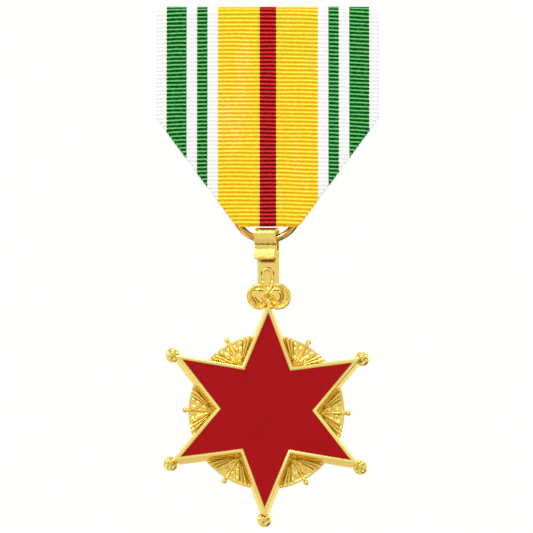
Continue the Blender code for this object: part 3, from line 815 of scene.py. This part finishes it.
def build_strap():
    """The strap: a rounded lip, a crease under the bend with painted shade in it, and a painted shadow behind
    the lip.
    """
    line = strap_line()
    lengths = lengths_along(line)
    crease_at = next(s for s, p in zip(lengths, line) if p.x < -0.5 * MM and p.y < CREASE_Z)
    columns = 34
    rings = []
    painted_shade = []
    for i, (s, point) in enumerate(zip(lengths, line)):
        before, after = line[max(0, i - 1)], line[min(len(line) - 1, i + 1)]
        ahead = (after - before).normalized()
        out = Vector((-ahead.y, ahead.x))  # away from the wire
        end_gap = lengths[-1] - s
        inset = 0.0
        if end_gap < LIP_ROUND:
            inset = LIP_ROUND - sqrt(max(0.0, LIP_ROUND**2 - (LIP_ROUND - end_gap) ** 2))
        half_width = STRAP_WIDTH / 2 - 0.75 * inset
        thin = STRAP_THICKNESS / 2 * (0.55 + 0.45 * smoothstep(0, 0.12 * MM, end_gap))
        ring = []
        for face in (1, -1):
            for k in range(columns + 1):
                across = -1 + 2 * k / columns if face > 0 else 1 - 2 * k / columns
                x = across * half_width
                edge_gap = half_width - abs(x)
                rounding = STRAP_EDGE * (1 - sqrt(max(0.0, 1 - max(0.0, 1 - edge_gap / STRAP_EDGE) ** 2)))
                level = thin - rounding
                dark = 0.0
                if face < 0 and point.x < -0.3 * MM:
                    ripple = noise.noise((x / (0.3 * MM), 2.0, 0.0))
                    crease = (s - crease_at) / CREASE_HALF + 0.8 * ripple
                    fold = max(0.0, 1 - crease * crease) * (0.35 + 1.3 * abs(ripple))
                    level -= CREASE_DEPTH * fold
                    # Painted shade in the crease.
                    dark = min(1.0, 1.5 * fold)
                    level += DENTS * noise.noise((x / (0.45 * MM), s / (0.4 * MM), 7.0))
                spot = point + out * face * level
                lean = STRAP_SHIFT + STRAP_SKEW * min(0.0, spot.x - STEM_Y)
                # Painted shadow of the lip on the stem below it.
                below_lip = STRAP_LIP + 0.15 * MM - spot.y
                if face > 0 and abs(point.x - STEM_Y) < 0.03 * MM and below_lip > 0:
                    dark = 0.85 * (1 - smoothstep(0.35 * MM, 0.65 * MM, below_lip))
                    dark *= smoothstep(1.25 * MM, 0.95 * MM, abs(x))
                painted_shade.append(dark)
                ring.append(pivot + Vector((x + lean, spot.x, spot.y)))
        rings.append(ring)
    mesh = mesh_of("folded_strap", *lofted(rings), smooth_angle=50)
    mark(mesh, painted_shade)
    piece("folded_strap", mesh, GILT, "pendant", ("hanger_strap",))


# --- cord loop and knot

CORD = 0.27 * MM  # radius
knot_low, knot_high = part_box("knot_ornament")
knot_centre = (knot_low + knot_high) / 2
knot_front = knot_low.y
knot_back = knot_high.y
loop_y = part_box("cord_loop")[0].y + 0.2 * MM
loop_x = knot_centre.x - 0.23 * MM


def build_cord_loop():
    """The needle-eye loop, whose two ends go into the knot."""
    # The right half from the top, as (x, forward, z) from the knot's middle in mm.
    half = [
        (0.0, 0, 4.45), (0.42, 0, 4.36), (0.70, 0, 4.03), (0.78, 0, 3.5),
        (0.77, 0, 2.9), (0.73, 0.1, 2.3), (0.66, 0.3, 1.9), (0.55, 0.5, 1.6),
    ]
    right = [Vector((loop_x + x * MM, loop_y - y * MM, knot_centre.z + z * MM)) for x, y, z in half]
    left = [Vector((2 * loop_x - p.x, p.y, p.z)) for p in right[:0:-1]]
    mesh = mesh_of("needle_eye_loop", *tube(smooth_path(left + right), CORD, sides=24))
    painted_highlight, painted_shade = [], []
    for vert in mesh.vertices:
        x, z = vert.co.x - loop_x, vert.co.z - knot_centre.z
        inward = -vert.normal.x if x > 0 else vert.normal.x
        shoulder = smoothstep(0.45 * MM, 0.15 * MM, abs(z - 3.75 * MM))
        shoulder *= smoothstep(0.4 * MM, 0.7 * MM, abs(x))
        crown = smoothstep(4.4 * MM, 4.6 * MM, z)
        # Painted highlights on the legs' inner, front-facing sides.
        painted_highlight.append(smoothstep(-0.15, 0.25, inward) * smoothstep(0.1, 0.5, -vert.normal.y) * (1 - crown))
        # Painted shade at the shoulders, over the crown and on the outward-facing sides.
        dark = max(0.8 * shoulder * (inward < -0.2), 0.8 * crown)
        painted_shade.append(0.2 * smoothstep(0.1, -0.5, inward) + dark)
    mark(mesh, painted_highlight, "highlight_paint")
    mark(mesh, painted_shade)
    piece("needle_eye_loop", mesh, GILT, "pendant", ("cord_loop",))


LOBE_OFFSET = 1.42 * MM
LOBE = 1.79 * MM  # radius of the rim's middle
RIM = 0.30 * MM  # radius of the rim's cord
PAD = 1.47 * MM
PAD_DROP = 0.16 * MM  # the pads' faces, behind the rims' front
STRAND = 0.25 * MM  # radius of the strands over the middle
ARCH = 0.16 * MM  # radius of the cord round the hole
MELT = 0.05 * MM  # how coarsely the knot is melted together
HOLE = 0.97 * MM  # round the top ball's cap
GROOVE = 0.13 * MM
GROOVE_DEPTH = 0.22 * MM
# Grooves in the lobes, as (x, z) points from the knot's middle in mm.
GROOVES = (
    ((-2.35, 0.88), (-1.65, 0.98), (-0.95, 0.88)),
    ((-2.6, -0.1), (-2.35, -0.62), (-1.95, -1.12)),
    ((-2.15, -0.2), (-1.85, -0.62), (-1.5, -0.9)),
    ((0.75, 0.98), (1.2, 1.02), (1.62, 0.94)),
    ((1.98, 0.86), (2.28, 0.12), (2.12, -0.45), (1.68, -1.05)),
    ((1.7, 0.45), (1.9, 0.05), (1.78, -0.38), (1.38, -0.85)),
)
# The two strands that cross over the knot's middle, as (x, z, y behind the rims' middle) in mm.
STRANDS = (
    ((0.5, 1.95, 0.05), (0.3, 1.4, -0.02), (-0.08, 0.8, -0.02), (-0.42, 0.32, 0.04), (-0.75, -0.05, 0.2)),
    ((-0.95, 1.95, 0.05), (-0.68, 1.42, 0.02), (-0.34, 0.98, 0.12), (0.15, 0.5, 0.16), (0.6, 0.1, 0.22)),
)


def arc_points(centre, radius, start, end, steps, y):
    points = []
    for i in range(steps + 1):
        angle = radians(start + (end - start) * i / steps)
        points.append((centre[0] + radius * cos(angle), y, centre[1] + radius * sin(angle)))
    return points


def carve(mesh, before):
    """Presses the grooves into the knot in front of a depth, and paints shade into the grooves and low
    places.
    """
    places = np.empty(len(mesh.vertices) * 3)
    mesh.vertices.foreach_get("co", places)
    places = places.reshape(-1, 3)
    flat = places[:, [0, 2]] - np.array([knot_centre.x, knot_centre.z])
    near = np.full(len(flat), 1.0)
    for line in GROOVES:
        for a, b in zip(line, line[1:]):
            a, b = np.array(a) * MM, np.array(b) * MM
            share = np.clip((flat - a) @ (b - a) / ((b - a) @ (b - a)), 0, 1)
            near = np.minimum(near, np.linalg.norm(flat - a - share[:, None] * (b - a), axis=1))
    press = GROOVE_DEPTH * np.clip(1 - (near / GROOVE) ** 2, 0, 1)
    # Painted shade on the low places, away from the hole.
    deep = np.clip((places[:, 1] - knot_front - 0.3 * MM) / (0.2 * MM), 0, 0.6)
    ball_spot = np.array([top_ball.x - knot_centre.x, top_ball.z - knot_centre.z])
    deep *= np.linalg.norm(flat - ball_spot, axis=1) > HOLE + 0.4 * MM
    press = np.where(places[:, 1] < before, press, 0)
    places[:, 1] += press
    mesh.vertices.foreach_set("co", places.ravel())
    mark(mesh, np.maximum(deep * (places[:, 1] < before), 0.6 * press / GROOVE_DEPTH))


def build_knot():
    """Two lobes of cord round pressed-in pads, tied over the top ball, whose cap shows in a hole."""
    x0, z0 = knot_centre.x, knot_centre.z
    rim_y = knot_front + RIM
    parts = []

    def add_disc(x, z, radius, front, edge, steps, sides):
        """A round-edged disc from a depth back to the knot's rear."""
        disc = turned(rounded_profile(radius, front, knot_back, edge, steps), sides)
        parts.append(moved(disc, Matrix.Translation((x, 0, z))))

    for side, start, end in ((-1, 78, 282), (1, 102, -108)):
        x = x0 + side * LOBE_OFFSET
        parts.append(tube(arc_points((x, z0), LOBE, start, end, 44, rim_y), RIM, sides=20))
        add_disc(x, z0, PAD, knot_front + PAD_DROP, 0.34 * MM, 6, 56)
        add_disc(x, z0, LOBE + 0.1 * MM, rim_y + 0.05 * MM, 0.1 * MM, 3, 56)
    add_disc(x0, z0 + 0.35 * MM, 1.2 * MM, rim_y - 0.02 * MM, 0.2 * MM, 3, 40)
    for strand in STRANDS:
        path = smooth_path([(x0 + x * MM, rim_y + y * MM, z0 + z * MM) for x, z, y in strand])
        parts.append(tube(path, STRAND))
    arch = arc_points((top_ball.x, top_ball.z), HOLE + 0.14 * MM, -12, 192, 36, rim_y + 0.02 * MM)
    parts.append(tube(arch, ARCH, sides=14))
    solid = fused("two_lobed_knot", parts, MELT, 3)
    carve(solid, rim_y + 0.25 * MM)
    knot = piece("two_lobed_knot", solid, GILT, "pendant", ("knot_ornament",))

    drill = turned([
        (HOLE + 0.5 * MM, knot_front - 0.3 * MM), (HOLE, knot_back - 0.2 * MM), (HOLE, knot_back + 1 * MM),
    ], 48)
    drill = moved(drill, Matrix.Translation((top_ball.x, 0, top_ball.z)))
    cutter = new_object("drill", mesh_of("drill", *drill))
    cut = knot.modifiers.new("hole", "BOOLEAN")
    cut.operation = "DIFFERENCE"
    cut.solver = "EXACT"
    cut.object = cutter
    drilled = applied(knot, "two_lobed_knot")
    knot.modifiers.clear()
    bpy.data.objects.remove(cutter)
    knot.data = drilled
    set_finish(drilled, GILT)
    smoothed(drilled, 50)


# --- star

enamel_low, enamel_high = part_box("enamel_field")
ENAMEL_TIP = 15.3 * MM
ENAMEL_VALLEY = 7.15 * MM
half_step = pi / POINTS
tip_angle = atan2(ENAMEL_VALLEY * sin(half_step), ENAMEL_TIP - ENAMEL_VALLEY * cos(half_step))
BALL_Y = middle("finial_ball_4").y - ring_centre.y
BALL_GAP = 0.03 * MM
TIP_CLEAR = 0.45 * MM  # how far an arm's tip stays from its ball's middle, seen from the front
TRAY_RIM = 0.53  # the rim's outer edge, from the enamel's outline, in mm
TRAY_FLARE = 0.42  # how much further out the sides stand at the back, in mm


def arm_end(level):
    """How far out an arm runs at a depth: up to its ball's side, or over its face."""
    reach = finial_radius + BALL_GAP
    beside = reach**2 - (level - BALL_Y) ** 2
    return finial_circle - sqrt(max(0.0, beside, TIP_CLEAR**2))


star_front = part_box("star_frame")[0].y - ring_centre.y
star_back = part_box("star_frame")[1].y - ring_centre.y


def star_ring(offset, level, blunt=0.04 * MM):
    """The enamel's outline moved out by an offset, with each tip cut blunt, as points at a depth."""
    tip = ENAMEL_TIP + offset / sin(tip_angle)
    valley = ENAMEL_VALLEY + offset / sin(tip_angle + half_step)
    cut = min(arm_end(level), tip - blunt)
    half_cut = (tip - cut) * tan(tip_angle)
    ring = []
    for i in range(POINTS):
        angle = pi / 2 + 2 * pi * i / POINTS
        for side in (-1, 1):
            turn = angle + side * atan2(half_cut, cut)
            reach = hypot(cut, half_cut)
            ring.append(on_circle(reach, turn, level))
        turn = angle + half_step
        ring.append(on_circle(valley, turn, level))
    return ring


def build_star_frame():
    """The tray: a ledge round the enamel with painted shade on it, a crest with a painted highlight, a step,
    and sloping sides.
    """
    # (offset, depth, painted shade, painted highlight) across the front, the first two in mm.
    section = [
        (-0.02, 0.42, 0.3, 0), (-0.01, 0.1, 0.3, 0), (0.01, 0.04, 0.25, 0), (0.04, 0.025, 0.2, 0),
        (0.1, 0.025, 0.15, 0), (0.13, 0.035, 0.1, 0), (0.15, 0.03, 0, 0.5), (0.19, 0.005, 0, 1),
        (0.24, 0.0, 0, 1), (0.41, 0.0, 0, 1), (0.45, 0.015, 0, 1), (0.48, 0.04, 0, 0.6),
        (0.51, 0.07, 0, 0.3), (TRAY_RIM, 0.1, 0, 0.2),
    ]
    rings = [star_ring(offset * MM, star_front + depth * MM) for offset, depth, _, _ in section]
    for share in (0.12, 0.25, 0.35, 0.42, 0.5, 0.6, 0.75, 0.96):
        level = star_front + share * (star_back - star_front)
        rings.append(star_ring((TRAY_RIM + TRAY_FLARE * share) * MM, level))
    rings.append(star_ring(0.94 * MM, star_back))
    parts = [lofted(rings)]
    neck = turned(in_mm([(0.45, 15.0), (0.47, 15.8), (0.6, 16.3)]), 24)
    lay = Matrix.Translation((0, 0.3 * MM, 0)) @ Matrix.Rotation(pi / 2, 4, "X")
    for turn in angles_round(POINTS):
        parts.append(moved(neck, Matrix.Rotation(turn, 4, "Y") @ lay))
    mesh = mesh_of("star_tray", *moved(joined(parts), star_place), smooth_angle=28)
    around = 3 * POINTS
    rest = [0.0] * (len(mesh.vertices) - around * len(section))
    # Painted shade by the enamel, and a painted highlight along the crest.
    mark(mesh, [dark for _, _, dark, _ in section for _ in range(around)] + rest)
    mark(mesh, [bright for _, _, _, bright in section for _ in range(around)] + rest, "highlight_paint")
    piece("star_tray", mesh, GILT, "pendant", ("star_frame",))


def build_enamel():
    """The enamel, drawn up a little where it wets the bead."""
    front = enamel_low.y - ring_centre.y
    back = enamel_high.y - ring_centre.y
    levels = [
        (0.0, back), (0.0, front - 0.06 * MM), (-0.08, front - 0.035 * MM), (-0.2, front - 0.012 * MM),
        (-0.4, front), (-0.9, front), (-1.6, front - 0.01 * MM),
    ]
    rings = [star_ring(offset * MM, level) for offset, level in levels]
    mesh = mesh_of("red_enamel", *moved(lofted(rings), star_place), smooth_angle=50)
    piece("red_enamel", mesh, enamel_material(), "pendant", ("enamel_field",))


# --- fan disc

disc_low, disc_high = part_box("fan_disc")
disc_front = disc_low.y - ring_centre.y
disc_back = disc_high.y - ring_centre.y
disc_radius = (disc_high.x - disc_low.x) / 2
FAN_APEX = 8.05 * MM  # where each fan's rays meet, under the star's inner corner
FAN_SPREAD = radians(51.4)
FLUTES_FROM = radians(31)
FLUTES = 2.6
RELIEF = 0.29 * MM
RIM_HEIGHT = 0.62  # of the relief
# Leaves on each half of a fan: across, out from the apex, half length, half width (mm), and lean (radians).
LEAVES = (
    (0.52, 1.45, 0.60, 0.32, 1.25),
    (1.02, 2.45, 0.66, 0.42, 0.95),
    (0.50, 3.05, 0.50, 0.32, 1.4),
    (1.55, 3.3, 0.42, 0.36, 0.3),
)


def leaf_height(x, z, sector):
    """(height, painted shadow) of the leaves at a place on a fan."""
    best, dark = 0.0, 0.0
    side = 1 if x > 0 else -1
    for n, (across, out, long, wide, lean) in enumerate(LEAVES):
        stray = 0.14 * MM * noise.noise((7.0 * sector + 3.1 * side, 2.3 * n, 0.5))
        dx, dz = x - side * (across * MM + stray), z - out * MM + stray
        a = dx * cos(side * lean) + dz * sin(side * lean)
        b = dz * cos(side * lean) - dx * sin(side * lean)
        inside = 1 - (a / (long * MM)) ** 2 - (b / (wide * MM)) ** 2
        if inside > 0:
            best = max(best, inside**0.6)
        # Painted shadow round a leaf, mostly below it.
        elif dz < 0 or stray > 0.03 * MM:
            dark = max(dark, 1 + inside / 0.55)
    return best, 0.0 if best else 0.5 * dark


def fan_height(radius, angle, sector):
    """(relief, painted shade) of one fan, by distance from the star's middle and angle from the fan's middle.
    """
    x, z = radius * sin(angle), radius * cos(angle) - FAN_APEX
    reach, turn = hypot(x, z), abs(atan2(x, max(z, 1e-6)))
    if radius < ENAMEL_VALLEY + 0.2 * MM:
        return 0.0, 0.0
    rim = smoothstep(disc_radius - 0.45 * MM, disc_radius - 0.3 * MM, radius)
    rim = RIM_HEIGHT * (rim - smoothstep(disc_radius - 0.12 * MM, disc_radius, radius))
    grow = smoothstep(0.1 * MM, 1.3 * MM, reach)
    grain = 0.04 * noise.noise((x / (0.3 * MM), z / (0.3 * MM), 3.0 * sector))
    if turn > FLUTES_FROM:
        wave = (turn - FLUTES_FROM) / (FAN_SPREAD - FLUTES_FROM) * FLUTES
        ridge = abs(sin(pi * wave))
        height = 0.9 * ridge**0.55 + grain
        # Painted shade in the flutes' valleys.
        dark = 0.55 * smoothstep(0.5, 0.1, ridge)
        dark *= smoothstep(disc_radius - 0.2 * MM, disc_radius - 0.8 * MM, radius)
    else:
        leaf, dark = leaf_height(x, z, sector)
        swell = 0.1 * sin(pi * reach / (1.9 * MM))
        height = 0.45 + swell + 1.2 * grain + 0.6 * leaf
        edge = smoothstep(FLUTES_FROM - radians(2.5), FLUTES_FROM, turn)
        height *= 1 - edge
        # Painted shade along the edge of the flutes.
        dark = max(dark, 0.5 * edge)
    if rim > height * grow:
        dark = 0.0
    return RELIEF * max(height * grow, rim), dark * grow


def build_fan_disc():
    """The disc behind the star, with a cast fan in each of its six open sectors."""
    inner = ENAMEL_VALLEY - 0.4 * MM
    edge = 0.15 * MM
    around, outward = 900, 62
    rings = []
    painted_shade = []
    for i in range(outward + 1):
        radius = inner + (disc_radius - inner) * (i / outward)
        ring = []
        for turn in angles_round(around):
            sector = int((turn + half_step) / (2 * half_step)) % POINTS
            angle = (turn + half_step) % (2 * half_step) - half_step
            lift, dark = fan_height(radius, angle, sector)
            painted_shade.append(dark)
            ring.append(on_circle(radius, turn, disc_front - lift))
        rings.append(ring)
    rear = [
        (disc_radius, disc_front + edge), (disc_radius, disc_back - edge),
        (disc_radius - edge, disc_back), (disc_radius - 2 * edge, disc_back), (inner, disc_back),
    ]
    rings += [circle(radius, level, around) for radius, level in rear]
    mesh = mesh_of("cast_fans", *moved(lofted(rings), star_place), smooth_angle=60)
    # Painted shade in the fans' valleys and round their leaves.
    mark(mesh, painted_shade + [0.0] * (around * len(rear)))
    piece("cast_fans", mesh, GILT_DEEP, "pendant", ("fan_disc",))


def build_fan_pins():
    """A ball-headed pin with a small collar, lying along the middle of each fan."""
    head, reach = 0.43 * MM, 12.78 * MM
    profile = in_mm([
        (0.19, 9.2), (0.2, 10.4), (0.21, 12.0), (0.3, 12.15), (0.33, 12.25), (0.3, 12.35), (0.24, 12.4),
    ])
    for k in range(1, 12):
        angle = -0.3 * pi + 0.79 * pi * k / 11
        profile.append((head * cos(angle), reach + head * sin(angle)))
    pin = turned(profile, 22)
    for i in range(POINTS):
        node = f"fan_pin_{i + 1}"
        lay = Matrix.Translation((0, middle(node).y - ring_centre.y, 0)) @ Matrix.Rotation(pi / 2, 4, "X")
        point_right = Matrix.Rotation(pi / 2 - 2 * pi * i / POINTS, 4, "Y")
        mesh = mesh_of(f"fan_pin_gilt_{i + 1}", *moved(pin, star_place @ point_right @ lay))
        piece(mesh.name, mesh, GILT, "pendant", (node,))


# --- finial balls

SCOOPS = 6
SCOOP_POLAR = radians(37)
SCOOP_REACH = radians(20)
SCOOP_DEPTH = 0.24  # of the ball's radius


def on_ball(polar, turn):
    """The direction at an angle from the ball's front, and a turn round it."""
    return Vector((sin(polar) * cos(turn), -cos(polar), sin(polar) * sin(turn)))


def finial_mesh(name, centre, spin, least_painted_highlight):
    """A ball whose front is cut with a ring of hollows round a small boss, with painted highlights in the
    hollows.
    """
    rings = []
    painted_highlight = []
    stacks, sides = 56, 96
    hollows = [on_ball(SCOOP_POLAR, 2 * pi * k / SCOOPS + spin) for k in range(SCOOPS)]
    for i in range(1, stacks):
        polar = pi * i / stacks
        ring = []
        for turn in angles_round(sides):
            out = on_ball(polar, turn)
            near = SCOOP_REACH
            if polar < SCOOP_POLAR + SCOOP_REACH:
                near = min(out.angle(h) for h in hollows)
            scoop = max(0.0, 1 - (near / SCOOP_REACH) ** 2)
            # Painted highlights in the hollows, and a given least share of them everywhere.
            painted_highlight.append(max(least_painted_highlight, min(1.0, 1.6 * scoop)))
            ring.append(centre + finial_radius * (1 - SCOOP_DEPTH * scoop) * out)
        rings.append(ring)
    mesh = mesh_of(name, *lofted(rings), smooth_angle=60)
    mark(mesh, painted_highlight, "highlight_paint")
    return mesh


def build_finials():
    for i in range(POINTS):
        node = f"finial_ball_{i + 1}"
        # The top ball, shaded in the knot's hole, gets painted highlight all over.
        mesh = finial_mesh(f"cut_ball_{i + 1}", middle(node), 0.2 + 0.5 * i, 0.0 if i else 0.6)
        piece(mesh.name, mesh, GILT, "pendant", (node,))


# --- brooch parts that keep their CAD shape

KEPT = {
    "brooch_bar": BRASS, "back_plate": BRASS, "plate_rivet_left": BRASS, "plate_rivet_right": BRASS,
    "hinge_bracket": BRASS, "hinge_rivet": STEEL, "catch_base": BRASS,
    "pin_stem": STEEL, "catch_sleeve": BRASS,
}
for node, material in KEPT.items():
    set_finish(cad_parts[node].data, material)


# --- floor, light and camera

FLOOR = -0.33
VIEW_WIDTH = 83.47 * MM
ELEVATION = radians(-8)
LENS = 800.0
SENSOR = 36.0
AIM_BELOW = 36.5 * MM  # the picture's middle, below the ribbon's face at the brooch
LIGHT_AIM = Vector((0, 0, -0.035))
# Brightness of the tent by height, -1 straight down to 1 straight up, in front of the object and behind it.
FRONT_TENT = [
    (-1.0, 0.9), (-0.5, 0.9), (-0.08, 0.92), (0.0, 1.0), (0.14, 1.1), (0.28, 1.06),
    (0.37, 0.55), (0.5, 1.6), (0.72, 1.35), (0.86, 0.3), (1.0, 1.3),
]
REAR_TENT = [(-1.0, 0.95), (-0.45, 1.0), (-0.15, 1.3), (0.2, 1.5), (0.5, 1.5), (0.75, 0.8), (1.0, 1.2)]
# And by distance to either side, in front only: a dim gap, a bright strip, and a dark edge.
SIDE_STRIPS = [
    (0.0, 1.0), (0.22, 1.0), (0.36, 0.6), (0.46, 0.75), (0.55, 2.2),
    (0.68, 2.0), (0.8, 0.3), (0.92, 0.45), (1.0, 0.8),
]
# Cards: the way each lies, its inner and outer edge in degrees from there, and how far it scales the light.
CARDS = [
    ((0.55, -0.6, 0.58), 8, 15, 0.3), ((0.66, -0.25, -0.7), 16, 34, 0.6), ((-0.76, 0.42, -0.5), 7, 15, 1.9),
    ((-0.75, -0.5, 0.3), 6, 14, 0.4), ((0.72, 0.7, 0.12), 8, 17, 2.0), ((0.6, 0.45, -0.66), 14, 32, 0.04),
]


def build_floor():
    reach = 6.0
    mesh = bpy.data.meshes.new("floor")
    corners = [(-reach, -reach, FLOOR), (reach, -reach, FLOOR), (reach, reach, FLOOR), (-reach, reach, FLOOR)]
    mesh.from_pydata(corners, [], [(0, 1, 2, 3)])
    floor = new_object("floor", mesh)
    nodes = new_material("pale_floor")
    tone = nodes.range(nodes.noise(0.4, 3.0), 0.3, 0.7, 0.0, 1.0)
    mesh.materials.append(nodes.set(
        colour=nodes.mix(tone, (0.82, 0.82, 0.81, 1), (0.86, 0.86, 0.85, 1)), roughness=0.8,
    ))
    floor.visible_glossy = False  # the metal mirrors the tent's lower half instead


def build_world():
    """A light tent, white behind the object. Cards in it give the gold its darks and highlights."""
    world = bpy.data.worlds.new("tent")
    bpy.context.scene.world = world
    nodes = Nodes(world)
    nodes.tree.nodes.clear()
    math = nodes.math

    def curve(value, low, high, stops):
        """A smooth curve through (place, brightness) stops, for a value between low and high."""
        share = math("DIVIDE", math("SUBTRACT", value, low), high - low)
        greys = [((place - low) / (high - low), (bright, bright, bright, 1)) for place, bright in stops]
        return nodes.ramp(share, greys, "EASE")

    direction = nodes.add("ShaderNodeTexCoord").outputs["Generated"]
    x, y, z = nodes.add("ShaderNodeSeparateXYZ", {"Vector": direction}).outputs
    front = math("MULTIPLY", curve(z, -1, 1, FRONT_TENT), curve(math("ABSOLUTE", x), 0, 1, SIDE_STRIPS))
    rear = curve(z, -1, 1, REAR_TENT)
    behind = curve(y, -1, 1, [(-0.3, 0.0), (0.4, 1.0)])
    tent = math("ADD", math("MULTIPLY", front, math("SUBTRACT", 1.0, behind)), math("MULTIPLY", rear, behind))
    for towards, inner, outer, scale in CARDS:
        inputs = {0: direction, 1: Vector(towards).normalized()}
        facing = nodes.add("ShaderNodeVectorMath", inputs, operation="DOT_PRODUCT").outputs["Value"]
        card = curve(facing, -1, 1, [(cos(radians(outer)), 1.0), (cos(radians(inner)), scale)])
        tent = math("MULTIPLY", tent, card)
    light = nodes.add("ShaderNodeBackground", {"Strength": tent}).outputs[0]
    paper = nodes.add("ShaderNodeBackground", {"Color": (1, 1, 0.99, 1)}).outputs[0]
    seen = nodes.add("ShaderNodeLightPath").outputs["Is Camera Ray"]
    choose = nodes.add("ShaderNodeMixShader", {0: seen, 1: light, 2: paper}).outputs[0]
    nodes.add("ShaderNodeOutputWorld", {"Surface": choose})


def build_light(name, place, size, power):
    light = bpy.data.lights.new(name, "AREA")
    light.shape = "RECTANGLE"
    light.size = size
    light.size_y = size
    light.energy = power
    made = new_object(name, light)
    made.location = place
    made.rotation_euler = (LIGHT_AIM - Vector(place)).to_track_quat("-Z", "Y").to_euler()


def build_camera():
    data = bpy.data.cameras.new("camera")
    data.lens = LENS
    data.sensor_width = SENSOR
    data.clip_end = 10
    camera = new_object("camera", data)
    bpy.context.scene.camera = camera
    distance = VIEW_WIDTH * LENS / SENSOR
    aim = Vector((star_place.translation.x, ribbon_low.y, -AIM_BELOW / cos(ELEVATION)))
    back = Vector((0, -cos(ELEVATION), sin(ELEVATION)))
    camera.location = aim + back * distance
    camera.rotation_euler = (-back).to_track_quat("-Z", "Y").to_euler()


builds = (
    build_ribbon, build_stitches, build_ring, build_strap, build_cord_loop, build_knot, build_star_frame,
    build_enamel, build_fan_disc, build_fan_pins, build_finials, build_floor, build_world,
)
for build in builds:
    build()
build_light("key", (-0.12, -0.45, 0.42), 0.18, 1.55)
build_light("rear_fill", (0.15, 0.5, 0.35), 0.4, 0.35)
build_camera()
bpy.context.scene.view_settings.view_transform = "Standard"
bpy.context.scene.cycles.max_bounces = 8
